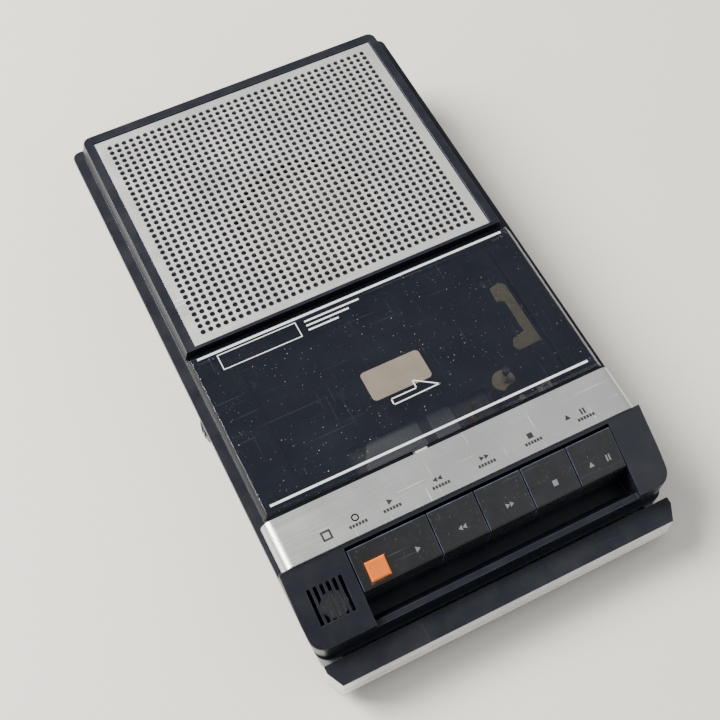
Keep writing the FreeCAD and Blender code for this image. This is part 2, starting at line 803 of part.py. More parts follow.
def speaker_grille():
    """A sheet punched with rows of round holes, built as one strip for each row across."""
    thick = number("grille_thick")
    wide = number("grille_wide")
    front = number("grille_front_y")
    rear = number("grille_rear_y")
    low = number("grille_z")
    radius = number("hole_radius")
    step_x = number("hole_step_wide")
    step_y = number("hole_step_deep")
    margin = number("hole_margin")
    columns = int((wide - 2 * margin) / step_x) + 1
    rows = int((rear - front - 2 * margin) / step_y) + 1
    first_x = -(columns - 1) * step_x / 2
    first_y = (front + rear) / 2 - (rows - 1) * step_y / 2
    strips = []
    for row in range(rows):
        hole_y = first_y + row * step_y
        near = front if row == 0 else hole_y - step_y / 2
        far = rear if row == rows - 1 else hole_y + step_y / 2
        outline = Part.makePlane(wide, far - near, FreeCAD.Vector(-wide / 2, near, low)).OuterWire
        wires = [outline]
        for column in range(columns):
            centre = FreeCAD.Vector(first_x + column * step_x, hole_y, low)
            hole = Part.Wire(Part.makeCircle(radius, centre))
            hole.reverse()
            wires.append(hole)
        strips.append(Part.Face(wires).extrude(FreeCAD.Vector(0, 0, thick)))
    feature("speaker_grille", strips[0].multiFuse(strips[1:]))


def control_trim():
    trim = Piece("control_trim")
    half = "trim_wide / 2"
    high = "block_top_z + trim_thick"
    low = f"{high} - trim_side"
    trim.pad("XZ", [rect(f"-({half})", half, low, high)], "trim_front_y", "trim_rear_y")
    middle = "trim_front_y + trim_deep / 2"
    inner = "trim_wide / 2 - trim_thick"
    room = rect(f"-({inner})", inner, f"{low} - 1", "block_top_z")
    trim.pocket("XZ", [room], "trim_front_y - 1", "trim_rear_y + 1")
    shoulder = [(x, middle, "block_top_z") for x in both_sides(inner)]
    trim.fillet("trim_round - trim_thick", shoulder)
    trim.fillet("trim_round", [(x, middle, high) for x in both_sides(half)])


def cassette_door():
    door = Piece("cassette_door")
    half = "door_wide / 2"
    low = "top_z - door_thick"
    slab = rect(f"-{half}", half, "door_front_y", "door_rear_y")
    door.pad("XY", [slab], low, "top_z")
    door.fillet("door_corner", [(x, "door_rear_y", f"{low} + 1") for x in both_sides(half)])
    for sign in ("", "-"):
        bevel = [
            (f"{sign}({half})", "top_z - door_bevel_high"),
            (f"{sign}({half} - door_bevel_wide)", "top_z"),
            (f"{sign}({half} - door_bevel_wide)", "top_z + 1"),
            (f"{sign}({half} + 1)", "top_z + 1"),
            (f"{sign}({half} + 1)", "top_z - door_bevel_high"),
        ]
        door.pocket("XZ", [bevel], "door_front_y - 1", "door_rear_y + 1")
    edges = [
        ("door_rear_y", "-", "door_edge_cut", "top_z", "-"),
        ("door_front_y", "+", "door_front_cut", "top_z", "-"),
        ("door_rear_y", "-", "door_under_cut", low, "+"),
    ]
    for along, inward, size, up, into in edges:
        corner = [
            (f"{along} {inward} {size}", up),
            (along, f"{up} {into} {size}"),
            (along, up),
        ]
        door.pocket("YZ", [corner], f"-{half}", half)
    neck = rect("hinge_y - lug_radius", "hinge_y + 1.2", "hinge_z", f"{low} + 0.1")
    for x in both_sides("hinge_side"):
        for outline in (circle("hinge_y", "hinge_z", "lug_radius"), neck):
            door.pad("YZ", [outline], f"{x} - lug_wide / 2", f"{x} + lug_wide / 2")
    bore = circle("hinge_y", "hinge_z", "hinge_radius + pin_gap")
    for x in both_sides("hinge_side"):
        door.pocket("YZ", [bore], f"{x} - lug_wide / 2 - 0.1", f"{x} + lug_wide / 2 + 0.1")
    grip_half = "(latch_wide / 2 + moving_gap)"
    notch = rect(
        f"latch_middle - {grip_half}",
        f"latch_middle + {grip_half}",
        "door_front_y - 1",
        "door_front_y + 0.9",
    )
    door.pocket("XY", [notch], "top_z - 1.4", "top_z + 1")


def door_fittings():
    low = "top_z - door_thick"
    pins = []
    for start, end in pin_spans():
        pins.append(rod("X", (start, "hinge_y", "hinge_z"), f"({end}) - ({start})", "hinge_radius"))
    group("door_hinge_pins", pins)
    rails = []
    for side, inward in (("well_left + 0.6", 1), ("well_right - 0.6", -1)):
        upright_x = sorted((side, f"{side} + {inward * 1.2}"), key=number)
        flange_x = sorted((side, f"{side} + {inward * 3}"), key=number)
        rail = block(*upright_x, "well_front_y + 5", "well_rear_y - 6", "deck_z + 0.8", low)
        flange = block(*flange_x, "well_front_y + 5", "well_rear_y - 6", "deck_z + 0.8", "deck_z + 1.8")
        rails.append(fuse("rail", [rail, flange]))
    group("cassette_guides", rails)
    spring = Piece("cassette_spring")
    right = "well_right - 2.6"
    leaf = [
        (right, "hub_y - 14"),
        (right, "hub_y + 12"),
        (f"{right} - 2", "hub_y + 14"),
        (f"{right} - 6", "hub_y + 13"),
        (f"{right} - 6.4", "hub_y + 7"),
        (f"{right} - 3.6", "hub_y + 6"),
        (f"{right} - 3.6", "hub_y - 8"),
        (f"{right} - 9", "hub_y - 9.4"),
        (f"{right} - 10.4", "hub_y - 12"),
        (f"{right} - 9", "hub_y - 14.4"),
    ]
    spring.pad("XY", [leaf], f"{low} - 0.8", low)
    spring.fillet("0.8", [(f"{right} - 10.4", "hub_y - 12", f"{low} - 0.4")])


def eject_latch():
    left, right = "latch_middle - latch_wide / 2", "latch_middle + latch_wide / 2"
    low, high = "deck_z + 3", "block_top_z - 0.2"
    rear = "door_front_y - 0.3"
    head = block(left, right, "trim_rear_y + 0.1", rear, low, high)
    bar = block(left, right, "pivot_y + 5", rear, low, f"{low} + latch_bar_thick")
    keep(fuse("eject_latch", [head, bar]), "eject_latch")


def key(name, left, right):
    cap = Piece(name)
    outer = [
        ("key_front_y", "key_low"),
        ("key_front_y + key_wall", "key_low"),
        ("key_rear_y", "key_low + 6"),
        ("key_rear_y", "key_rear_z"),
        ("key_front_y", "key_front_z"),
    ]
    cap.pad("YZ", [outer], left, right)
    cap.fillet("0.8", [(f"({left} + {right}) / 2", "key_front_y", "key_front_z")])
    inner = [
        ("key_front_y + key_wall", "key_low - 1"),
        ("key_rear_y + 1", "key_low - 1"),
        ("key_rear_y + 1", "key_rear_z - key_wall / cos(slope) + tan(slope)"),
        ("key_front_y + key_wall", "key_front_z - key_wall / cos(slope) + key_wall * tan(slope)"),
    ]
    cap.pocket("YZ", [inner], f"{left} + 1.6", f"{right} - 1.6")
    middle = f"(({left}) + ({right})) / 2"
    lever = [
        ("key_front_y + 3", "key_low + 4.5"),
        ("pivot_y", "pivot_z - 2.4"),
        ("pivot_y", "pivot_z + 2.4"),
        ("key_rear_y + 0.6", "pivot_z + 3.4"),
        ("key_rear_y - 1", "key_rear_z - key_wall"),
        ("key_front_y + 3", "key_front_z - 0.4"),
    ]
    cap.pad("YZ", [lever], f"{middle} - 2", f"{middle} + 2")
    hub = circle("pivot_y", "pivot_z", "shaft_radius + 1.2")
    cap.pad("YZ", [hub], f"{middle} - 3", f"{middle} + 3")
    bore = circle("pivot_y", "pivot_z", "shaft_radius + pin_gap")
    cap.pocket("YZ", [bore], f"{middle} - 3.1", f"{middle} + 3.1")
    return cap


def keys():
    left, right = "keys_left", "keys_left + wide_key"
    play = key("play_key", left, right)
    hole = rect(
        "button_left - fit_gap",
        "button_left + button_side + fit_gap",
        "button_front_y - fit_gap",
        "button_rear_y + fit_gap",
    )
    play.pocket("XY", [hole], "key_low + 3.5", "top_z")
    for name in ("rewind_key", "forward_key", "stop_key", "pause_key"):
        left = f"{right} + key_gap"
        right = f"{left} + narrow_key"
        key(name, left, right)
    button = Piece("record_button")
    front_top = slope_z("button_front_y") + " + key_proud + button_proud"
    rear_top = slope_z("button_rear_y") + " + key_proud + button_proud"
    side = [
        ("button_front_y", "key_low + 6"),
        ("button_rear_y", "key_low + 6"),
        ("button_rear_y", rear_top),
        ("button_front_y", front_top),
    ]
    button.pad("YZ", [side], "button_left", "button_left + button_side")
    middle_y = "(button_front_y + button_rear_y) / 2"
    middle_z = f"({front_top} + {rear_top}) / 2"
    rim = [("button_left + button_side / 2", "button_front_y", front_top)]
    rim += [("button_left + button_side / 2", "button_rear_y", rear_top)]
    rim += [("button_left", middle_y, middle_z), ("button_left + button_side", middle_y, middle_z)]
    button.fillet("0.7", rim)


def key_middles():
    places = ["keys_left + wide_key / 2"]
    for i in range(4):
        places.append(f"keys_left + wide_key + key_gap + narrow_key / 2 + {i} * (key_gap + narrow_key)")
    return places


def coil(radius, wire, long, turns, base):
    """A coil spring along Z from base, as a wire swept along a helix."""
    helix = Part.makeHelix((long - wire) / turns, long - wire, radius - wire / 2)
    start = FreeCAD.Vector(radius - wire / 2, 0, 0)
    section = Part.Wire(Part.makeCircle(wire / 2, start, FreeCAD.Vector(0, 1, 0)))
    made = Part.Wire(helix).makePipeShell([section], True, True)
    made.translate(base + FreeCAD.Vector(0, 0, wire / 2))
    return made


def key_hardware():
    left = "key_opening_left - wall - 3"
    long = f"key_opening_right + wall + 3 - ({left})"
    keep(rod("X", (left, "pivot_y", "pivot_z"), long, "shaft_radius", "key_shaft"), "key_shaft")
    springs = []
    low = number("trough_z")
    top = number("key_low + 4.6")
    for place in key_middles():
        base = FreeCAD.Vector(number(place), number("key_front_y + 8"), low)
        springs.append(coil(2.3, 0.5, top - low, 6, base))
    feature("key_springs", Part.makeCompound(springs))


def chassis():
    plate = Piece("chassis_plate")
    left = "key_opening_left - wall - 2.6"
    right = "key_opening_right + wall + 2.6"
    sheet_outline = rect(left, right, "pivot_y - 4", "well_rear_y")
    plate.pad("XY", [sheet_outline], "chassis_z", "chassis_top_z")
    tabs = [
        rect(left, f"{left} + 1.2", "pivot_y - 4", "pivot_y + 2.8"),
        rect(f"{right} - 1.2", right, "pivot_y - 4", "pivot_y + 2.8"),
    ]
    plate.pad("XY", tabs, "chassis_z", "pivot_z + 4")
    bore = circle("pivot_y", "pivot_z", "shaft_radius")
    plate.pocket("YZ", [bore], f"{left} - 1", f"{right} + 1")
    holes = [circle(x, "hub_y", "3.2") for x in ("supply_x", "take_up_x")]
    holes.append(circle("capstan_x", "capstan_y", "2.7"))
    holes += [circle(x, y, "post_radius + 0.6") for x, y in POSTS[:2]]
    holes += [circle(x, y, "1.3") for x, y in CHASSIS_POSTS]
    holes.append(circle("arm_pivot_x", "arm_pivot_y", "1.2"))
    holes.append(circle("idler_x", "idler_y", "1"))
    plate.pocket("XY", holes, "chassis_z", "chassis_top_z")
    screws = []
    for x, y in CHASSIS_POSTS:
        head = upright(x, y, "chassis_top_z", "chassis_top_z + 0.9", "2.2")
        screws.append(fuse("screw", [head, upright(x, y, "chassis_z - 6", "chassis_top_z", "1.3")]))
    group("chassis_screws", screws)

    cover = Piece("deck_cover")
    around = rect("well_left - rib - 2", "well_right + rib + 2", "trim_rear_y + 0.7", "well_rear_y + 2.4")
    cover.pad("XY", [around], "cover_z", "deck_z")
    for x in ("supply_x", "take_up_x"):
        cover.pocket("XY", [circle(x, "hub_y", "hub_flange + moving_gap")], "cover_z", "deck_z")
    window = rect("cassette_middle - 30.5", "cassette_middle + 26", "trim_rear_y", "hub_y - 17.4")
    cover.pocket("XY", [window], "cover_z", "deck_z")
    cover.pocket(
        "XY", [circle("capstan_x", "capstan_y", "bearing_radius + fit_gap")], "cover_z", "deck_z"
    )
    cover.pocket("XY", [circle("arm_pivot_x", "arm_pivot_y", "1.5")], "cover_z", "deck_z")
    for x, y in CHASSIS_POSTS[:2]:
        cover.pocket("XY", [circle(x, y, "2.6")], "cover_z", "deck_z")


def spindle(name, x):
    turned = Piece(name)
    top = "deck_z + spindle_high"
    outline = [
        ("0", "turntable_z - 1"),
        ("axle_radius", "turntable_z - 1"),
        ("axle_radius", "turntable_z"),
        ("turntable_radius", "turntable_z"),
        ("turntable_radius", "turntable_z + turntable_thick"),
        ("axle_radius", "turntable_z + turntable_thick"),
        ("axle_radius", "chassis_top_z + 0.4"),
        ("hub_flange", "chassis_top_z + 0.4"),
        ("hub_flange", "deck_z + 0.8"),
        ("spindle_radius", "deck_z + 0.8"),
        ("spindle_radius", f"{top} - 2.4"),
        ("1", top),
        ("0", top),
    ]
    turned.turn(outline, x, "hub_y")
    fins = [
        rect(f"{x} - spindle_radius - 1.1", f"{x} + spindle_radius + 1.1", "hub_y - 0.6", "hub_y + 0.6"),
        rect(f"{x} - 0.6", f"{x} + 0.6", "hub_y - spindle_radius - 1.1", "hub_y + spindle_radius + 1.1"),
    ]
    for fin in fins:
        turned.pad("XY", [fin], "deck_z + 0.7", f"{top} - 3")


def drive():
    spindle("supply_spindle", "supply_x")
    spindle("take_up_spindle", "take_up_x")
    bushes = []
    for x in ("supply_x", "take_up_x"):
        low, high = "turntable_z + turntable_thick + 0.4", "chassis_top_z"
        outer = upright(x, "hub_y", low, high, "3.2")
        bore = upright(x, "hub_y", f"{low} - 1", f"{high} + 1", "axle_radius + pin_gap")
        bushes.append(cut("bush", outer, [bore]))
    group("spindle_bushes", bushes)

    shaft = upright("capstan_x", "capstan_y", "floor_z + 1.8", "deck_z + spindle_high", "capstan_radius")
    keep(shaft, "capstan_shaft")
    bearing = fuse(
        "bearing_solid",
        [
            upright("capstan_x", "capstan_y", "chassis_top_z", "deck_z + 0.7", "bearing_radius"),
            upright("capstan_x", "capstan_y", "flywheel_hub_z + 0.5", "chassis_top_z", "2.7"),
        ],
    )
    bore = upright("capstan_x", "capstan_y", "flywheel_z", "top_z", "capstan_radius + pin_gap")
    keep(cut("capstan_bearing", bearing, [bore]), "capstan_bearing")
    wheel = Piece("flywheel")
    outline = [
        ("capstan_radius", "flywheel_z"),
        ("flywheel_radius", "flywheel_z"),
        ("flywheel_radius", "flywheel_top_z"),
        ("flywheel_radius - 4", "flywheel_top_z"),
        ("flywheel_radius - 4", "flywheel_top_z - 2"),
        ("flywheel_hub + 1", "flywheel_top_z - 2"),
        ("flywheel_hub + 1", "flywheel_top_z"),
        ("flywheel_hub", "flywheel_top_z"),
        ("flywheel_hub", "flywheel_hub_z"),
        ("capstan_radius", "flywheel_hub_z"),
    ]
    wheel.turn(outline, "capstan_x", "capstan_y")

    can = Piece("motor")
    can.pad("XY", [circle("motor_x", "motor_y", "motor_radius")], "motor_z", "chassis_z")
    can.fillet("1.5", [("motor_x + motor_radius", "motor_y", "motor_z")])
    can.pocket("XY", [circle("motor_x", "motor_y", "1 + pin_gap")], "motor_z - 1", "motor_z + 5")
    pulley = Piece("motor_pulley")
    outline = [
        ("0", "belt_z - 1"),
        ("pulley_radius + 0.9", "belt_z - 1"),
        ("pulley_radius + 0.9", "belt_z - 0.3"),
        ("pulley_radius", "belt_z - 0.3"),
        ("pulley_radius", "belt_z + belt_wide + 0.2"),
        ("1", "belt_z + belt_wide + 0.2"),
        ("1", "motor_z + 4"),
        ("0", "motor_z + 4"),
    ]
    pulley.turn(outline, "motor_x", "motor_y")
    drive_belt()

    low, high = "turntable_z + 0.3", "turntable_z + turntable_thick - 0.3"
    hub = upright("idler_x", "idler_y", low, high, "idler_radius")
    bore = upright("idler_x", "idler_y", "turntable_z", "deck_z", "1 + pin_gap")
    keep(cut("idler_wheel", hub, [bore]), "idler_wheel")
    pin = upright("idler_x", "idler_y", "turntable_z - 0.6", "chassis_top_z", "1")
    keep(pin, "idler_pin")


def drive_belt():
    """A flat belt round the motor pulley and the flywheel's rim."""
    small = FreeCAD.Vector(number("motor_x"), number("motor_y"), number("belt_z"))
    large = FreeCAD.Vector(number("capstan_x"), number("capstan_y"), number("belt_z"))
    high = FreeCAD.Vector(0, 0, number("belt_wide"))
    gap = number("pin_gap")

    def loop(extra):
        run = large - small
        small_radius = number("pulley_radius") + extra
        large_radius = number("flywheel_radius") + extra
        along = run / run.Length
        across = FreeCAD.Vector(-along.y, along.x, 0)
        sine = (large_radius - small_radius) / run.Length
        cosine = (1 - sine**2) ** 0.5
        up = across * cosine - along * sine
        down = across * -cosine - along * sine
        lines = [
            Part.makeLine(small + up * small_radius, large + up * large_radius),
            Part.Arc(
                large + up * large_radius, large + along * large_radius, large + down * large_radius
            ).toShape(),
            Part.makeLine(large + down * large_radius, small + down * small_radius),
            Part.Arc(
                small + down * small_radius, small - along * small_radius, small + up * small_radius
            ).toShape(),
        ]
        return Part.Face(Part.Wire(lines)).extrude(high)

    feature("drive_belt", loop(gap + number("belt_thick")).cut(loop(gap)))


def tape_path():
    post = upright("arm_pivot_x", "arm_pivot_y", "chassis_z", "arm_z + 2", "1.2", "pinch_post")
    keep(post, "pinch_post")
    arm = Piece("pinch_arm")
    outline = [
        ("roller_x - 2.2", "roller_y - 2.2"),
        ("arm_pivot_x + 2.4", "arm_pivot_y - 2.6"),
        ("arm_pivot_x + 2.8", "arm_pivot_y + 2.2"),
        ("roller_x - 2.2", "roller_y + 2.2"),
    ]
    arm.pad("XY", [outline], "arm_z", "arm_z + 1")
    bore = circle("arm_pivot_x", "arm_pivot_y", "1.2 + pin_gap")
    arm.pocket("XY", [bore], "arm_z", "arm_z + 1")
    arm.pad("XY", [circle("roller_x", "roller_y", "1")], "arm_z + 0.5", "arm_z + roller_high + 1.5")
    roller = upright("roller_x", "roller_y", "arm_z + 1.3", "arm_z + 1.3 + roller_high", "roller_radius")
    bore = upright("roller_x", "roller_y", "arm_z", "top_z", "1 + pin_gap")
    keep(cut("pinch_roller", roller, [bore]), "pinch_roller")

    plate = Piece("head_carriage")
    tongue = "hub_y - 16.6"
    outline = [
        ("cassette_middle - 28", "pivot_y + 3.5"),
        ("cassette_middle + 26.5", "pivot_y + 3.5"),
        ("cassette_middle + 26.5", "well_front_y"),
        ("cassette_middle + 11", "well_front_y"),
        ("cassette_middle + 11", tongue),
        ("cassette_middle + 2", tongue),
        ("cassette_middle + 2", "well_front_y + 2"),
        ("cassette_middle - 2.3", "well_front_y + 2"),
        ("cassette_middle - 2.3", f"{tongue} + 1.4"),
        ("cassette_middle - 8.3", f"{tongue} + 1.4"),
        ("cassette_middle - 9.5", f"{tongue} - 0.9"),
        ("cassette_middle - 22", f"{tongue} - 0.9"),
        ("cassette_middle - 24", f"{tongue} - 4.6"),
        ("cassette_middle - 28", "well_front_y"),
    ]
    plate.pad("XY", [outline], "carriage_z", "carriage_top_z")
    relief = upright_notch("-5")
    plate.pocket("XY", [relief], "carriage_z", "carriage_top_z")
    for name, left, right in (
        ("record_head", "cassette_middle - 5", "cassette_middle + 7"),
        ("erase_head", "cassette_middle - 24", "cassette_middle - 15"),
    ):
        head = Piece(name)
        outline = rect(left, right, "head_y - 3", "head_y + 4")
        head.pad("XY", [outline], "carriage_top_z", "seat_under_z - 0.4")
        noses = [(x, "head_y + 4", "deck_z + 4") for x in (left, right)]
        head.fillet("2.5", noses)
    base = FreeCAD.Vector(number("cassette_middle + 16.5"), 0, number("carriage_top_z + 1.9"))
    spring = coil(1.6, 0.45, 9, 9, FreeCAD.Vector())
    spring.rotate(FreeCAD.Vector(), FreeCAD.Vector(1, 0, 0), -90)
    spring.translate(base + FreeCAD.Vector(0, number("well_front_y") + 1, 0))
    feature("carriage_spring", spring)


def upright_notch(x):
    """Room round the chassis screw that the carriage slides past."""
    return rect(f"{x} - 3", f"{x} + 3", "pivot_y + 3", "post_front_y + 3.2")


def speaker():
    frame = Piece("speaker_frame")
    rim = "speaker_radius"
    outline = [
        (rim, "baffle_z"),
        (rim, "baffle_z - 1.2"),
        (f"{rim} - 2", "baffle_z - 1.2"),
        ("magnet_radius + 1", "baffle_z - 5.4"),
        ("9", "baffle_z - 5.4"),
        ("9", "baffle_z - 4.4"),
        ("magnet_radius + 0.6", "baffle_z - 4.4"),
        (f"{rim} - 3", "baffle_z - 1"),
        (f"{rim} - 3", "baffle_z"),
    ]
    frame.turn(outline, "0", "speaker_y")
    cone = Piece("speaker_cone")
    outline = [
        ("0", "baffle_z - 2.9"),
        ("7", "baffle_z - 2.9"),
        (f"{rim} - 3", "baffle_z - 0.6"),
        (f"{rim} - 3", "baffle_z - 1"),
        ("7.2", "baffle_z - 3.3"),
        ("0", "baffle_z - 3.3"),
    ]
    cone.turn(outline, "0", "speaker_y")
    magnet_top = "baffle_z - 5.4"
    magnet = upright("0", "speaker_y", f"{magnet_top} - magnet_high", magnet_top, "magnet_radius")
    pole = upright("0", "speaker_y", magnet_top, f"{magnet_top} + 1.6", "8.9")
    keep(fuse("speaker_magnet", [magnet, pole]), "speaker_magnet")


def power():
    tray = block("tray_left", "tray_right", "tray_front_y", "tray_rear_y", "floor_z", "tray_under_z + 1")
    inner = block(
        "tray_left + tray_wall",
        "tray_right - tray_wall",
        "tray_front_y + tray_wall",
        "tray_rear_y - tray_wall",
        "floor_z - 1",
        "tray_under_z",
    )
    keep(cut("battery_tray", tray, [inner]), "battery_tray")
    first_x = "tray_left + tray_wall + contact_room"
    first_y = "tray_front_y + tray_wall + cell_radius"
    cells, contacts = [], []
    for row in range(2):
        y = f"{first_y} + {row} * (2 * cell_radius + 2 * cell_gap)"
        for column in range(2):
            x = f"{first_x} + {column} * (cell_long + cell_gap)"
            can = rod("X", (f"{x} + 0.6", y, "cell_z"), "cell_long - 1.8", "cell_radius")
            button = rod("X", (f"{x} + cell_long - 1.2", y, "cell_z"), "1.2", "3")
            cells.append(fuse("cell", [can, button]))
        left = "tray_left + tray_wall"
        contacts.append(block(left, f"{left} + 0.4", f"{y} - 8", f"{y} + 8", "cell_z - 8", "cell_z + 8"))
        right = "tray_right - tray_wall"
        contacts.append(block(f"{right} - 0.4", right, f"{y} - 8", f"{y} + 8", "cell_z - 8", "cell_z + 8"))
    group("battery_cells", cells)
    group("battery_contacts", contacts)
    lid = Piece("battery_door")
    outline = rect(
        "tray_left + tray_wall + fit_gap",
        "tray_right - tray_wall - fit_gap",
        "tray_front_y + tray_wall + fit_gap",
        "rear_y",
    )
    lid.pad("XY", [outline], "base_z", "floor_z - 0.3")
    grips = [rect("-25", "10", f"rear_y - {6 + 2.4 * i}", f"rear_y - {4.8 + 2.4 * i}") for i in range(5)]
    lid.pocket("XY", grips, "base_z - 1", "base_z + 0.6")

    core = block(
        "transformer_x",
        "transformer_x + transformer_thick",
        "transformer_y",
        "transformer_y + transformer_deep",
        "core_low",
        "core_top",
    )
    leg_front = "transformer_y + (transformer_deep - core_leg) / 2"
    leg_rear = f"{leg_front} + core_leg"
    windows = [
        block(
            "transformer_x - 1",
            "transformer_x + transformer_thick + 1",
            front,
            rear,
            "core_low + core_yoke",
            "core_top - core_yoke",
        )
        for front, rear in (
            ("transformer_y + core_end", leg_front),
            (leg_rear, "transformer_y + transformer_deep - core_end"),
        )
    ]
    keep(cut("transformer_core", core, windows), "transformer_core")
    winding = block(
        "transformer_x - winding_proud",
        "transformer_x + transformer_thick + winding_proud",
        "transformer_y + core_end + winding_gap",
        "transformer_y + transformer_deep - core_end - winding_gap",
        "core_low + core_yoke + winding_gap",
        "core_top - core_yoke - winding_gap",
    )
    leg = block(
        "transformer_x - winding_gap",
        "transformer_x + transformer_thick + winding_gap",
        f"{leg_front} - winding_gap",
        f"{leg_rear} + winding_gap",
        "core_low",
        "core_top",
    )
    keep(cut("transformer_coil", winding, [leg]), "transformer_coil")
    left, right = "inlet_left + fit_gap", "inlet_right - fit_gap"
    low, high = "inlet_low + fit_gap", "inlet_top - fit_gap"
    shell = block(left, right, "rear_y - inlet_deep", "rear_y", low, high)
    mouth = block(
        f"{left} + inlet_wall",
        f"{right} - inlet_wall",
        "rear_y - inlet_deep + 2",
        "rear_y + 1",
        f"{low} + inlet_wall",
        f"{high} - inlet_wall",
    )
    middle_x, middle_z = "(inlet_left + inlet_right) / 2", "(inlet_low + inlet_top) / 2"
    pins = [
        rod("Y", (f"{middle_x} {side} 3.5", "rear_y - inlet_deep + 1", middle_z), "9", "1.1")
        for side in "-+"
    ]
    keep(fuse("mains_inlet", [cut("inlet_shell", shell, [mouth])] + pins), "mains_inlet")


def electronics():
    low, high = "floor_z + 2.3", "floor_z + 3.9"
    board = block("-49", "49", "speaker_y - 28", "speaker_y + 16", low, high)
    keep(board, "circuit_board")
    parts = [
        upright(x, y, high, f"floor_z + {top}", radius)
        for x, y, top, radius in (
            ("-38", "speaker_y - 12", 16, 5),
            ("-26", "speaker_y - 20", 13, 3.5),
            ("-24", "speaker_y + 4", 13, 3.5),
            ("25", "speaker_y - 20", 15, 4),
            ("36", "speaker_y - 14", 12, 3),
        )
    ]
    parts.append(block("24", "40", "speaker_y - 2", "speaker_y + 8", high, "floor_z + 12"))
    parts.append(block("-12", "8", "speaker_y - 24", "speaker_y - 18", high, "floor_z + 9"))
    group("board_parts", parts)

    capsule = upright("mic_x", "mic_y", "mic_top_z - 7", "mic_top_z", "mic_radius")
    keep(capsule, "microphone")
    sleeve = upright("mic_x", "mic_y", "mic_top_z - 7.6", "mic_top_z - 1", "mic_radius + 1.6")
    bore = upright("mic_x", "mic_y", "mic_top_z - 7", "mic_top_z + 1", "mic_radius")
    keep(cut("microphone_sleeve", sleeve, [bore]), "microphone_sleeve")

    sockets = []
    for i, radius in enumerate(("jack_radius", "remote_radius", "jack_radius")):
        y = f"jack_y + {i} * jack_step"
        barrel = rod("X", ("jack_x - 13", y, "jack_z"), "13", "jack_barrel")
        bore = rod("X", ("jack_x - 12", y, "jack_z"), "14", radius)
        sockets.append(cut("socket", barrel, [bore]))
    group("jack_sockets", sockets)

    wheel = Piece("volume_wheel")
    top = "volume_z + volume_thick"
    wheel.pad("XY", [circle("volume_x", "volume_y", "volume_radius")], "volume_z", top)
    wheel.pocket("XY", [circle("volume_x", "volume_y", "2 + pin_gap")], "volume_z", top)
    rim_y = "volume_y + volume_radius"
    notch = rect("volume_x - 0.4", "volume_x + 0.4", f"{rim_y} - 0.7", f"{rim_y} + 1")
    grip = wheel.pocket("XY", [notch], "volume_z", top)
    knurl = wheel.body.newObject("PartDesign::PolarPattern", "volume_knurl")
    knurl.Originals = [grip]
    axis = wheel.sketch("XY", [circle("volume_x", "volume_y", "1")], "volume_z")
    knurl.Axis = (axis, ["N_Axis"])
    bind(axis, "AttachmentOffset.Base.x", "volume_x")
    bind(axis, "AttachmentOffset.Base.y", "volume_y")
    knurl.Angle = 360
    knurl.Occurrences = 24
    wheel.body.Tip = knurl
    pot = fuse(
        "volume_control",
        [
            upright("volume_x", "volume_y", f"{top} + 0.4", f"{top} + 2.6", "5"),
            upright("volume_x", "volume_y", "volume_z", f"{top} + 0.4", "2"),
        ],
    )
    keep(pot, "volume_control")


def handle():
    bar = Piece("handle_bar")
    half = "handle_wide / 2"
    cut_x = f"{half} - handle_cut_wide"
    cut_y = "handle_front_y + handle_cut_deep"
    outline = [
        (f"-({half})", "handle_rear_y"),
        (f"-({half})", cut_y),
        (f"-({cut_x})", "handle_front_y"),
        (cut_x, "handle_front_y"),
        (half, cut_y),
        (half, "handle_rear_y"),
    ]
    bar.pad("XY", [outline], "handle_low", "handle_top")
    inner = [
        (f"-({half}) + strip_thick", "handle_rear_y"),
        (f"-({half}) + strip_thick", f"{cut_y} + 0.2"),
        (f"-({cut_x}) + strip_thick / 2", "handle_front_y + strip_thick"),
        (f"{cut_x} - strip_thick / 2", "handle_front_y + strip_thick"),
        (f"{half} - strip_thick", f"{cut_y} + 0.2"),
        (f"{half} - strip_thick", "handle_rear_y"),
    ]
    ring = outline + [inner[-1]] + inner[-2::-1]
    low, high = "handle_low + strip_inset", "handle_top - strip_inset"
    bar.pocket("XY", [ring], low, high)
    strip = Piece("handle_strip")
    strip.pad("XY", [ring], f"{low} + pin_gap", f"{high} - pin_gap")
    arms = []
    for x in both_sides("arm_side"):
        arm = block(
            f"{x} - arm_thick / 2",
            f"{x} + arm_thick / 2",
            "arm_front_y",
            "arm_rear_y",
            "arm_low",
            "arm_low + arm_high",
        )
        arms.append(arm)
    group("handle_arms", arms)


def fastenings():
    feet = [
        upright(x, y, "0", "base_z", "foot_radius")
        for x in both_sides("base_half - 13")
        for y in ("case_front_y + 14", "tray_front_y - 9")
    ]
    group("feet", feet)
    screws = []
    for x, y in POSTS:
        head = upright(x, y, "base_z + 0.8", "floor_z + 0.4", "post_radius - 0.2")
        shank = upright(x, y, "floor_z + 0.3", "post_end + 9", "1.3")
        screws.append(fuse("screw", [head, shank]))
    group("case_screws", screws)


upper_case()
lower_case()
speaker_grille()
control_trim()
cassette_door()
door_fittings()
eject_latch()
keys()
key_hardware()
chassis()
drive()
tape_path()
speaker()
power()
electronics()
handle()
fastenings()
doc.recompute()

for thing in doc.Objects:
    if "Invalid" in thing.State or "Error" in thing.State:
        raise RuntimeError(f"{thing.Label} failed: {thing.State}")
for piece in pieces:
    if piece.Shape.isNull() or not piece.Shape.isValid():
        raise RuntimeError(f"{piece.Label} has no valid shape")
for piece in pieces:
    piece.Shape.exportStep(f"parts/{piece.Label}.step")
print(len(pieces), "pieces written")
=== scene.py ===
import math

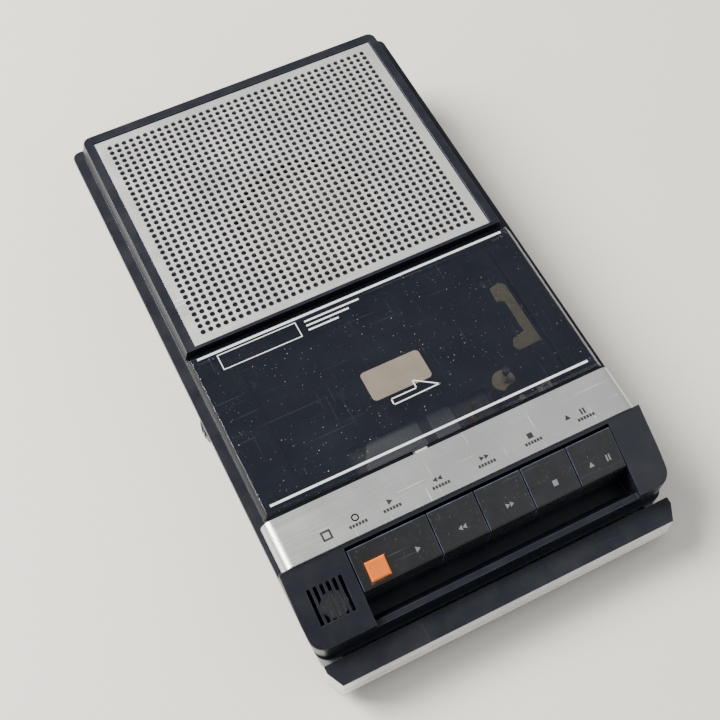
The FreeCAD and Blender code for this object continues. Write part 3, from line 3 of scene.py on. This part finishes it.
import bpy
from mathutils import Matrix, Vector


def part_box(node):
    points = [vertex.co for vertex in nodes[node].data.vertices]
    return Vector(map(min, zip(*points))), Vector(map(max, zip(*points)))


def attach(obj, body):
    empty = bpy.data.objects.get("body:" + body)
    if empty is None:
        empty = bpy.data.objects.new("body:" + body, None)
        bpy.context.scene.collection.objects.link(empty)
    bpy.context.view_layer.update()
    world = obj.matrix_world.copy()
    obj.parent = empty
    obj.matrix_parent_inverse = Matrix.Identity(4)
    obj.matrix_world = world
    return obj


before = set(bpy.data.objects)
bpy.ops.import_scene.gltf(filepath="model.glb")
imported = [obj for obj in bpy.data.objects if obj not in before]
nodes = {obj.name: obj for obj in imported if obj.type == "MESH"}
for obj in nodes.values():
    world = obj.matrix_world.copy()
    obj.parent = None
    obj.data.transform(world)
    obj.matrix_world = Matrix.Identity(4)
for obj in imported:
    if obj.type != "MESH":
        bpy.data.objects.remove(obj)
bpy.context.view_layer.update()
MM = 0.001

BEVEL_SAMPLES = 6
MIX_AMOUNT, MIX_FIRST, MIX_SECOND = 0, 6, 7    # a colour Mix node's inputs
MIX_RESULT = 2                                 # and its output


# ---------------------------------------------------------------- materials


class Finish:
    """A procedural material: one Principled shader and the textures that feed it.

    Textures are laid in the object's own metres, so every size and depth here is in metres.
    """

    def __init__(self, name, color, rough, metal=0.0):
        self.material = bpy.data.materials.new(name)
        self.material.use_nodes = True
        self.tree = self.material.node_tree
        self.shader = self.tree.nodes["Principled BSDF"]
        self.place = self.add("ShaderNodeTexCoord").outputs["Object"]
        self.set("Metallic", metal)
        self.color = self.rgb(color)
        self.rough = self.value(rough)
        self.height = None

    def add(self, kind, **inputs):
        made = self.tree.nodes.new(kind)
        for key, value in inputs.items():
            made.inputs[key].default_value = value
        return made

    def link(self, source, target):
        self.tree.links.new(source, target)

    def set(self, socket, value):
        self.shader.inputs[socket].default_value = value

    def rgb(self, color):
        made = self.add("ShaderNodeRGB")
        made.outputs[0].default_value = (*color, 1)
        return made.outputs[0]

    def value(self, number):
        made = self.add("ShaderNodeValue")
        made.outputs[0].default_value = number
        return made.outputs[0]

    def math(self, operation, first, second=0.0, clamp=False):
        made = self.add("ShaderNodeMath")
        made.operation = operation
        made.use_clamp = clamp
        for socket, source in zip(made.inputs, (first, second)):
            if isinstance(source, (int, float)):
                socket.default_value = source
            else:
                self.link(source, socket)
        return made.outputs[0]

    def mix(self, amount, first, second):
        """Blends two colours."""
        made = self.add("ShaderNodeMix")
        made.data_type = "RGBA"
        for index, source in ((MIX_AMOUNT, amount), (MIX_FIRST, first), (MIX_SECOND, second)):
            if isinstance(source, (int, float)):
                made.inputs[index].default_value = source
            else:
                self.link(source, made.inputs[index])
        return made.outputs[MIX_RESULT]

    def span(self, source, low, high, to_low=0.0, to_high=1.0):
        """Stretches the part of source between low and high over to_low to to_high."""
        made = self.add("ShaderNodeMapRange")
        self.link(source, made.inputs["Value"])
        ends = {"From Min": low, "From Max": high, "To Min": to_low, "To Max": to_high}
        for key, number in ends.items():
            made.inputs[key].default_value = number
        return made.outputs["Result"]

    def noise(self, size, detail=3.0, stretch=(1, 1, 1), shift=0.0):
        """Noise whose features are about size metres across, stretched along each axis by its factor.

        A shift moves the pattern, so that one layer doesn't follow another.
        """
        mapping = self.add("ShaderNodeMapping")
        self.link(self.place, mapping.inputs["Vector"])
        mapping.inputs["Scale"].default_value = [1 / factor for factor in stretch]
        mapping.inputs["Location"].default_value = (shift, shift, shift)
        made = self.add("ShaderNodeTexNoise", Scale=1 / size, Detail=detail)
        self.link(mapping.outputs[0], made.inputs["Vector"])
        return made.outputs["Fac"]

    def edges(self, radius, low=0.02, high=0.25):
        """1 on the object's edges, 0 on its faces."""
        bevel = self.add("ShaderNodeBevel", Radius=radius)
        bevel.samples = BEVEL_SAMPLES
        flat = self.add("ShaderNodeNewGeometry")
        dot = self.add("ShaderNodeVectorMath")
        dot.operation = "DOT_PRODUCT"
        self.link(bevel.outputs[0], dot.inputs[0])
        self.link(flat.outputs["Normal"], dot.inputs[1])
        return self.span(self.math("SUBTRACT", 1.0, dot.outputs["Value"]), low, high)

    def upward(self):
        """1 on faces that look up."""
        flat = self.add("ShaderNodeNewGeometry")
        split = self.add("ShaderNodeSeparateXYZ")
        self.link(flat.outputs["Normal"], split.inputs[0])
        return self.span(split.outputs["Z"], low=0.5, high=0.95)

    def tint(self, amount, color):
        self.color = self.mix(amount, self.color, self.rgb(color))
        return self

    def patchy(self, size, color, amount=0.6):
        """Slow changes of colour, as from handling and age."""
        patches = self.noise(size, detail=4.0)
        return self.tint(self.span(patches, low=0.4, high=0.75, to_high=amount), color)

    def dusty(self, color, amount, size=0.009):
        """A thin, duller film of dust, in patches, on the faces that look up."""
        patches = self.span(self.noise(size, detail=5.0, shift=3.1), low=0.42, high=0.8)
        shown = self.math("MULTIPLY", self.math("MULTIPLY", patches, self.upward()), amount)
        self.roughen(self.math("MULTIPLY", shown, 0.5))
        return self.tint(shown, color)

    def specked(self, color, amount):
        """Single grains of dust on the faces that look up."""
        return self.tint(self.math("MULTIPLY", self.specks(), amount), color)

    def specks(self):
        """1 on a grain of dust, with more grains in some places than in others."""
        grains = self.span(self.noise(size=0.0007, detail=1.0, shift=1.7), low=0.76, high=0.79)
        places = self.span(self.noise(size=0.02, shift=4.4), low=0.35, high=0.6, to_low=0.15)
        return self.math("MULTIPLY", self.math("MULTIPLY", grains, places), self.upward())

    def wear_and_edge_highlight(self, color, radius, amount):
        """Edges painted lighter, unevenly: rubbed wear on some finishes, a painted edge highlight on others.
        """
        uneven_patches = self.span(self.noise(size=0.006, detail=4.0, shift=5.3), low=0.3, high=0.6, to_low=0.35)
        edge = self.math("MULTIPLY", self.edges(radius), uneven_patches)
        return self.tint(self.math("MULTIPLY", edge, amount, clamp=True), color)

    def scratched(self, color, amount):
        """Fine straight scratches from side to side and from front to rear."""
        lines = None
        for stretch in ((60, 1, 1), (1, 45, 1)):
            streaks = self.noise(size=0.0006, detail=2.0, stretch=stretch, shift=stretch[0] * 0.37)
            line = self.span(streaks, low=0.69, high=0.73)
            lines = line if lines is None else self.math("MAXIMUM", lines, line)
        shown = self.math("MULTIPLY", lines, amount)
        self.roughen(self.math("MULTIPLY", shown, 0.4))
        return self.tint(shown, color)

    def roughen(self, change):
        """Adds change to the roughness."""
        self.rough = self.math("ADD", self.rough, change, clamp=True)

    def mottled_gloss(self, size, spread):
        """Roughness that varies from place to place."""
        gloss = self.noise(size, detail=4.0, shift=7.9)
        self.roughen(self.span(gloss, low=0.3, high=0.7, to_low=-spread, to_high=spread))
        return self

    def grain(self, size, depth, stretch=(1, 1, 1), detail=3.0):
        """A bump of about depth metres whose features are size metres across."""
        return self.raised(self.noise(size, detail, stretch), depth)

    def raised(self, source, depth):
        """Adds source to the bump, depth metres high where it is 1."""
        rise = self.math("MULTIPLY", source, depth)
        self.height = rise if self.height is None else self.math("ADD", self.height, rise)
        return self

    def brushed(self, depth):
        """Fine parallel lines from side to side, in the shine, the colour and the bump."""
        lines = self.noise(size=0.00022, stretch=(400, 1, 1))
        self.roughen(self.span(lines, low=0.3, high=0.7, to_low=-0.09, to_high=0.12))
        self.tint(self.span(lines, low=0.35, high=0.75, to_high=0.35), (0.35, 0.35, 0.35))
        return self.raised(lines, depth)

    def done(self, soft_edge=0.0003):
        """Joins the colour, roughness and bump to the shader, and shades sharp edges as slightly round."""
        self.link(self.color, self.shader.inputs["Base Color"])
        self.link(self.rough, self.shader.inputs["Roughness"])
        normal = self.add("ShaderNodeBevel", Radius=soft_edge)
        normal.samples = BEVEL_SAMPLES
        last = normal.outputs[0]
        if self.height is not None:
            bump = self.add("ShaderNodeBump", Strength=1.0, Distance=1.0)
            self.link(self.height, bump.inputs["Height"])
            self.link(last, bump.inputs["Normal"])
            last = bump.outputs[0]
        self.link(last, self.shader.inputs["Normal"])
        return self.material


def case_plastic():
    finish = Finish("case_plastic", (0.0085, 0.0098, 0.0155), 0.3)
    finish.patchy(0.05, (0.014, 0.0155, 0.022), 0.6)
    finish.dusty((0.1, 0.1, 0.1), 0.1)
    # The bluish lighter edges are a painted highlight: the window and sky reflected along the case's edges,
    # not wear.
    finish.wear_and_edge_highlight((0.13, 0.16, 0.22), 0.0005, 0.45)
    finish.scratched((0.16, 0.17, 0.19), 0.07)
    finish.set("Specular IOR Level", 0.3)
    return finish.mottled_gloss(0.03, 0.06).grain(0.0005, 0.000009).done()


def key_plastic(name, shade):
    finish = Finish(name, (shade, shade * 1.02, shade * 1.08), 0.22)
    finish.patchy(0.012, (shade * 1.8, shade * 1.85, shade * 2), 0.4)
    finish.dusty((0.2, 0.2, 0.22), 0.03, 0.004)
    # The bluish lighter edges are a painted highlight along the keys' rounded edges, not wear.
    finish.wear_and_edge_highlight((0.2, 0.27, 0.4), 0.0006, 0.7)
    finish.scratched((0.3, 0.3, 0.32), 0.16)
    finish.specked((0.4, 0.4, 0.4), 0.3)
    finish.set("Specular IOR Level", 0.32)
    return finish.mottled_gloss(0.008, 0.07).grain(0.0011, 0.000007).done(0.0005)


def smoked_clear():
    """Dark clear plastic, less clear at its edges and under grains of dust."""
    clean_alpha = 0.52
    finish = Finish("smoked_clear", (0.0045, 0.0065, 0.014), 0.06)
    finish.patchy(0.03, (0.008, 0.011, 0.02), 0.4)
    finish.dusty((0.12, 0.13, 0.16), 0.05, 0.012)
    finish.scratched((0.3, 0.31, 0.34), 0.13)
    finish.specked((0.75, 0.75, 0.75), 0.9)
    # The bluish lighter edges are a painted highlight along the door's edges, not wear.
    finish.wear_and_edge_highlight((0.26, 0.31, 0.42), 0.0005, 0.6)
    finish.set("Specular IOR Level", 0.5)
    finish.set("Coat Weight", 0.3)
    finish.set("Coat Roughness", 0.04)
    marks = finish.math("MULTIPLY", finish.specks(), 0.6)
    solid = finish.math("ADD", marks, clean_alpha)
    alpha = finish.math("MAXIMUM", solid, finish.edges(0.0006), clamp=True)
    finish.link(alpha, finish.shader.inputs["Alpha"])
    return finish.mottled_gloss(0.02, 0.03).done(0.0004)


def grille_metal():
    finish = Finish("grille_metal", (0.6, 0.6, 0.585), 0.36, 0.55)
    finish.patchy(0.04, (0.5, 0.5, 0.485), 0.5)
    finish.dusty((0.5, 0.48, 0.44), 0.2)
    finish.scratched((0.92, 0.92, 0.92), 0.35)
    return finish.mottled_gloss(0.02, 0.1).grain(0.0004, 0.000006).done(0.00015)


def brushed_metal(name, color, metal=0.8):
    finish = Finish(name, color, 0.27, metal)
    finish.patchy(0.03, [part * 0.8 for part in color], 0.5)
    finish.scratched((0.95, 0.95, 0.95), 0.6)
    finish.wear_and_edge_highlight((0.95, 0.95, 0.95), 0.0004, 0.4)
    return finish.brushed(depth=0.000005).mottled_gloss(0.02, 0.06).done()


def plated_steel(name, color, rough=0.32):
    finish = Finish(name, color, rough, 0.95)
    finish.patchy(0.008, [part * 0.62 for part in color], 0.8)
    finish.scratched([min(1, part * 1.3) for part in color], 0.5)
    return finish.mottled_gloss(0.005, 0.12).grain(0.0006, 0.000005).done()


def moulded(name, color, rough=0.45, dust=0.1):
    finish = Finish(name, color, rough)
    finish.patchy(0.015, [part * 0.7 for part in color], 0.6)
    finish.dusty((0.3, 0.29, 0.27), dust)
    finish.wear_and_edge_highlight([min(1, part * 1.8 + 0.04) for part in color], 0.0004, 0.5)
    return finish.mottled_gloss(0.01, 0.08).grain(0.0007, 0.00001).done()


def rubber():
    finish = Finish("black_rubber", (0.018, 0.018, 0.018), 0.72)
    finish.patchy(0.006, (0.05, 0.048, 0.045), 0.7)
    finish.wear_and_edge_highlight((0.12, 0.12, 0.11), 0.0004, 0.6)
    return finish.mottled_gloss(0.004, 0.1).grain(0.0005, 0.00002).done()


def printed(name, color):
    finish = Finish(name, color, 0.5)
    finish.patchy(0.004, [part * 0.75 for part in color], 0.7)
    uneven_patches = finish.span(finish.noise(0.0012, 4.0, shift=2.2), 0.62, 0.75)
    finish.tint(uneven_patches, [part * 0.45 for part in color])
    return finish.mottled_gloss(0.003, 0.1).grain(0.0004, 0.000004).done(0.00002)


def wound_wire():
    finish = Finish("wound_wire", (0.34, 0.12, 0.04), 0.35)
    finish.patchy(0.006, (0.2, 0.07, 0.03), 0.6)
    return finish.grain(0.0006, 0.00012, stretch=(1, 1, 20)).mottled_gloss(0.004, 0.1).done()


def board_resin():
    finish = Finish("board_resin", (0.33, 0.2, 0.06), 0.4)
    finish.patchy(0.01, (0.2, 0.12, 0.04), 0.6)
    tracks = finish.span(finish.noise(0.004, 1.0, stretch=(6, 1, 1), shift=0.6), 0.5, 0.53)
    finish.tint(tracks, (0.5, 0.34, 0.12))
    return finish.grain(0.0005, 0.00002).mottled_gloss(0.01, 0.1).done()


def cell_jacket():
    finish = Finish("cell_jacket", (0.1, 0.11, 0.13), 0.3, 0.4)
    finish.patchy(0.02, (0.16, 0.16, 0.18), 0.6)
    finish.scratched((0.5, 0.5, 0.5), 0.5)
    finish.wear_and_edge_highlight((0.6, 0.6, 0.6), 0.0006, 0.7)
    return finish.mottled_gloss(0.01, 0.1).grain(0.001, 0.00001).done()


def pressed_paper():
    finish = Finish("pressed_paper", (0.045, 0.04, 0.036), 0.85)
    finish.patchy(0.005, (0.09, 0.08, 0.07), 0.6)
    return finish.grain(0.0006, 0.00005, detail=5.0).done()


black_case = case_plastic()
keys_black = key_plastic("key_plastic", 0.0095)
inner_black = moulded("inner_plastic", (0.016, 0.018, 0.024), 0.4, 0.04)
steel = plated_steel("plated_steel", (0.55, 0.55, 0.53))
bright_steel = plated_steel("bright_steel", (0.75, 0.75, 0.76), 0.14)
black_rubber = rubber()
brass = plated_steel("turned_brass", (0.7, 0.55, 0.24), 0.25)
white_print = printed("white_print", (0.78, 0.79, 0.8))
key_print = printed("key_print", (0.2, 0.21, 0.24))
black_print = printed("black_print", (0.015, 0.015, 0.015))

LOOKS = {
    black_case: ("upper_case", "lower_case", "handle_bar", "battery_door"),
    keys_black: ("play_key", "rewind_key", "forward_key", "stop_key", "pause_key", "volume_wheel"),
    smoked_clear(): ("cassette_door",),
    moulded("orange_plastic", (0.9, 0.19, 0.012), 0.3, 0.0): ("record_button",),
    grille_metal(): ("speaker_grille",),
    brushed_metal("brushed_trim", (0.66, 0.66, 0.66)): ("control_trim",),
    brushed_metal("handle_silver", (0.9, 0.89, 0.86), metal=0.4): ("handle_strip",),
    steel: (
        "chassis_plate", "handle_arms", "battery_contacts", "motor", "transformer_core",
        "speaker_frame", "case_screws", "chassis_screws", "key_springs",
    ),
    moulded("carriage_steel", (0.62, 0.65, 0.68), 0.35, 0.02): ("head_carriage", "pinch_arm"),
    bright_steel: (
        "door_hinge_pins", "key_shaft", "capstan_shaft", "idler_pin", "pinch_post",
        "record_head", "erase_head",
    ),
    moulded("bronze_spring", (0.45, 0.25, 0.13), 0.3, 0.02): ("carriage_spring",),
    moulded("yellow_spring", (0.8, 0.72, 0.46), 0.4, 0.02): ("cassette_spring",),
    inner_black: (
        "deck_cover", "supply_spindle", "take_up_spindle", "cassette_guides", "battery_tray",
        "mains_inlet", "jack_sockets", "volume_control",
    ),
    moulded("pale_plastic", (0.62, 0.6, 0.53), 0.4): ("eject_latch", "microphone"),
    moulded("bearing_bronze", (0.8, 0.7, 0.44), 0.35, 0.02): ("capstan_bearing",),
    brass: ("spindle_bushes", "motor_pulley"),
    plated_steel("cast_metal", (0.26, 0.26, 0.27), 0.5): ("flywheel", "speaker_magnet"),
    black_rubber: ("feet", "drive_belt", "idler_wheel", "pinch_roller", "microphone_sleeve"),
    pressed_paper(): ("speaker_cone",),
    wound_wire(): ("transformer_coil",),
    board_resin(): ("circuit_board",),
    moulded("part_sleeves", (0.07, 0.1, 0.26), 0.35): ("board_parts",),
    cell_jacket(): ("battery_cells",),
}

for look, names in LOOKS.items():
    for name in names:
        for slot in nodes[name].material_slots:
            slot.material = look


# ---------------------------------------------------------------- printed marks

PRINT_THICK = 0.03 * MM
TRIM_PRINT_THICK = 0.02 * MM
WINDOW_THICK = 0.015 * MM
KEY_SLOPE = 25          # degrees down towards the front
KEY_DEEP = 13.2 * MM    # from a key's front to its rear


def piece(name, vertices, faces, look, body):
    mesh = bpy.data.meshes.new(name)
    mesh.from_pydata(vertices, [], faces)
    mesh.materials.append(look)
    made = bpy.data.objects.new(name, mesh)
    bpy.context.scene.collection.objects.link(made)
    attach(made, body)
    return made


def plates(outlines, surface, thick):
    """Thin raised prisms over outlines of (x, y) points, each standing on the height that surface gives."""
    vertices, faces = [], []
    for outline in outlines:
        first = len(vertices)
        count = len(outline)
        for rise in (0, thick):
            vertices += [(x, y, surface(x, y) + rise) for x, y in outline]
        faces.append(tuple(range(first + count - 1, first - 1, -1)))
        faces.append(tuple(range(first + count, first + 2 * count)))
        for i in range(count):
            j = (i + 1) % count
            faces.append((first + i, first + j, first + count + j, first + count + i))
    return vertices, faces


def bar(x0, x1, y0, y1):
    """A rectangle."""
    return [(x0, y0), (x1, y0), (x1, y1), (x0, y1)]


def rounded(x0, x1, y0, y1, radius, steps=6):
    """A rectangle with round corners."""
    points = []
    for x, y, start in (
        (x1 - radius, y0 + radius, -90), (x1 - radius, y1 - radius, 0),
        (x0 + radius, y1 - radius, 90), (x0 + radius, y0 + radius, 180),
    ):
        for step in range(steps + 1):
            angle = math.radians(start + 90 * step / steps)
            points.append((x + radius * math.cos(angle), y + radius * math.sin(angle)))
    return points


def frame_of(x0, x1, y0, y1, line):
    """The four bars of a hollow rectangle."""
    return [
        bar(x0, x1, y0, y0 + line),
        bar(x0, x1, y1 - line, y1),
        bar(x0, x0 + line, y0 + line, y1 - line),
        bar(x1 - line, x1, y0 + line, y1 - line),
    ]


def stroke(points, line):
    """A closed line of even width through points, as one quadrilateral for each side."""
    sides = []
    for i, start in enumerate(points):
        end = points[(i + 1) % len(points)]
        run = Vector(end) - Vector(start)
        run.normalize()
        side = Vector((-run.y, run.x)) * line / 2
        reach = run * line / 2
        low, high = Vector(start) - reach, Vector(end) + reach
        sides.append([tuple(low - side), tuple(high - side), tuple(high + side), tuple(low + side)])
    return sides


def triangle(x, y, size, turn):
    """A solid triangle that points along turn degrees from +X."""
    tips = []
    for corner in (0, 120, 240):
        angle = math.radians(turn + corner)
        tips.append((x + size * math.cos(angle), y + size * math.sin(angle)))
    return tips


def ring(x, y, radius, line, steps=28):
    """A circle drawn with a line of even width."""
    turns = [2 * math.pi * i / steps for i in range(steps)]
    return stroke([(x + radius * math.cos(turn), y + radius * math.sin(turn)) for turn in turns], line)


def transport_marks(kind, x, y, size):
    """The outlines of one tape transport sign about (x, y)."""
    apart = size * 0.7
    smaller = size * 0.85
    if kind == "play":
        return [triangle(x, y, size, 0)]
    if kind == "eject":
        return [triangle(x, y, size, 90)]
    if kind in ("rewind", "forward"):
        turn = 180 if kind == "rewind" else 0
        return [triangle(x - apart, y, smaller, turn), triangle(x + apart, y, smaller, turn)]
    if kind == "stop":
        half = size * 0.8
        return [bar(x - half, x + half, y - half, y + half)]
    if kind == "pause":
        half = size * 0.9
        inner = size * 0.2
        return [
            bar(x - apart, x - inner, y - half, y + half),
            bar(x + inner, x + apart, y - half, y + half),
        ]
    return ring(x, y, smaller, size * 0.35)


door_low, door_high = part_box("cassette_door")
trim_low, trim_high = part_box("control_trim")
hub_low, hub_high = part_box("supply_spindle")
hub_y = (hub_low.y + hub_high.y) / 2


def door_marks():
    """White marks printed on the door: two lines across it, a plain frame, three bars and an arrow."""
    half_line, half_bar = 0.45 * MM, 0.35 * MM
    panel_line, arrow_line = 0.35 * MM, 0.45 * MM
    left, right = door_low.x + 3.9 * MM, door_high.x - 4.2 * MM
    rear, front = door_high.y - 2.3 * MM, door_low.y + 3.1 * MM
    lines = [bar(left, right, y - half_line, y + half_line) for y in (rear, front)]

    panel_left, panel_right = door_low.x + 10.8 * MM, door_low.x + 41.7 * MM
    panel_front, panel_rear = rear - 7.9 * MM, rear - 1.3 * MM
    lines += frame_of(panel_left, panel_right, panel_front, panel_rear, panel_line)

    bar_left = panel_right + 3 * MM
    for step in range(3):
        y = rear - (2.6 + 1.9 * step) * MM
        bar_right = panel_right + (25 - 5 * step) * MM
        lines.append(bar(bar_left, bar_right, y - half_bar, y + half_bar))

    # the arrow's corners in mm, with y from the row of hubs
    arrow = [(-7.6, -12.6), (2.4, -12.6), (2.4, -9.2), (10.5, -14.7), (-7.6, -15.0)]
    lines += stroke([(x * MM, hub_y + y * MM) for x, y in arrow], arrow_line)
    vertices, faces = plates(lines, lambda x, y: door_high.z, PRINT_THICK)
    piece("door_print", vertices, faces, white_print, "door")


def door_window():
    """The door's window: a thin, brownish, nearly opaque plate with round corners."""
    finish = Finish("window_tint", (0.25, 0.21, 0.17), 0.3)
    finish.patchy(0.006, (0.19, 0.16, 0.13), 0.5)
    finish.mottled_gloss(0.004, 0.1).grain(0.0008, 0.000004)
    finish.set("Alpha", 0.82)
    left, right = -13.3 * MM, 9.9 * MM
    front, rear = hub_y - 11 * MM, hub_y + 1.2 * MM
    outline = rounded(left, right, front, rear, radius=1.6 * MM)
    vertices, faces = plates([outline], lambda x, y: door_high.z, WINDOW_THICK)
    piece("door_window", vertices, faces, finish.done(0.00002), "door")


def legend(x, y, count):
    """A row of count small blocks that stands where a legend would."""
    wide, high, step = 0.85 * MM, 1.1 * MM, 1.15 * MM
    left = x - (count - 1) * step / 2 - wide / 2
    return [bar(left + i * step, left + i * step + wide, y, y + high) for i in range(count)]


def trim_marks():
    """Black marks along the metal trim: transport signs over rows of small blocks, and a plain square."""
    row_y = trim_low.y + 5.4 * MM
    sign_y, sign_size = row_y + 0.9 * MM, 1.3 * MM
    legend_y, legend_blocks = row_y - 2.2 * MM, 6
    signs = (
        ("record", -38.5), ("play", -25.8), ("rewind", -7.3), ("forward", 10.4),
        ("stop", 28.7), ("eject", 43.7), ("pause", 49.8),
    )
    outlines = []
    for kind, x in signs:
        outlines += transport_marks(kind, x * MM, sign_y, sign_size)
        if kind != "eject":
            outlines += legend(x * MM, legend_y, legend_blocks)
    square_left, square_right = -51.5 * MM, -47.9 * MM
    outlines += frame_of(square_left, square_right, row_y - 2.4 * MM, row_y + 1.2 * MM, 0.7 * MM)
    vertices, faces = plates(outlines, lambda x, y: trim_high.z, TRIM_PRINT_THICK)
    piece("trim_print", vertices, faces, black_print, "case")


def key_marks():
    """Grey transport signs on the sloping tops of the keys, all as deep and as high as the play key."""
    low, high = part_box("play_key")
    slope = math.tan(math.radians(KEY_SLOPE))
    rear_y = low.y + KEY_DEEP
    sign_y, sign_size = low.y + 4.7 * MM, 1.15 * MM

    def top(x, y):
        return high.z - (rear_y - y) * slope

    signs = (
        ("play_key", "play", (("play", -23.9),)),
        ("rewind_key", "rewind", (("rewind", -6.6),)),
        ("forward_key", "forward", (("forward", 11.3),)),
        ("stop_key", "stop", (("stop", 29.4),)),
        ("pause_key", "pause", (("eject", 43.9), ("pause", 50.6))),
    )
    for node, body, marks in signs:
        outlines = []
        for kind, x in marks:
            outlines += transport_marks(kind, x * MM, sign_y, sign_size)
        vertices, faces = plates(outlines, top, PRINT_THICK)
        piece(node + "_print", vertices, faces, key_print, body)


door_marks()
door_window()
trim_marks()
key_marks()


# ---------------------------------------------------------------- stage


def stage_floor():
    """A pale table that reaches well past the camera's view."""
    finish = Finish("pale_table", (0.88, 0.85, 0.775), 0.5)
    finish.patchy(0.12, (0.82, 0.795, 0.725), 0.5)
    finish.mottled_gloss(0.05, 0.06).grain(0.0012, 0.00002)
    half = 4.0
    corners = [(-half, -half, 0), (half, -half, 0), (half, half, 0), (-half, half, 0)]
    mesh = bpy.data.meshes.new("floor")
    mesh.from_pydata(corners, [], [(0, 1, 2, 3)])
    mesh.materials.append(finish.done())
    floor = bpy.data.objects.new("floor", mesh)
    bpy.context.scene.collection.objects.link(floor)


def aim(thing, target):
    """Turns a light or the camera to look at target."""
    direction = Vector(target) - thing.location
    thing.rotation_euler = direction.to_track_quat("-Z", "Y").to_euler()


def area_light(name, place, size, power, color):
    """A soft light that looks at the middle of the machine."""
    data = bpy.data.lights.new(name, "AREA")
    data.shape = "RECTANGLE"
    data.size, data.size_y = size
    data.energy = power
    data.color = color
    made = bpy.data.objects.new(name, data)
    bpy.context.scene.collection.objects.link(made)
    made.location = place
    aim(made, (0, 0, 0.03))


def camera():
    """Looks down on the machine from the front left; both places are in mm from the middle of the grille."""
    eye = Vector((-105.2, -272.3, 380.2))
    target = Vector((-10.2, -82.6, 0))
    grille_low, grille_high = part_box("speaker_grille")
    centre = (grille_low + grille_high) / 2
    centre.z = grille_high.z
    data = bpy.data.cameras.new("camera")
    data.sensor_width = 36
    data.lens = 61.2
    made = bpy.data.objects.new("camera", data)
    bpy.context.scene.collection.objects.link(made)
    made.location = centre + eye * MM
    aim(made, centre + target * MM)
    bpy.context.scene.camera = made


def lights():
    """A window behind on the left, a weak fill from the front right, and an even bright room."""
    area_light(
        "window_light", place=(-0.9, 0.75, 1.15), size=(0.9, 0.9), power=68, color=(1.0, 0.98, 0.93),
    )
    area_light(
        "room_fill", place=(0.9, -0.9, 0.9), size=(1.4, 1.4), power=6, color=(0.93, 0.96, 1.0),
    )
    world = bpy.data.worlds.new("studio")
    world.use_nodes = True
    back = world.node_tree.nodes["Background"]
    back.inputs["Color"].default_value = (0.97, 0.98, 1.0, 1)
    back.inputs["Strength"].default_value = 0.5
    bpy.context.scene.world = world


stage_floor()
camera()
lights()
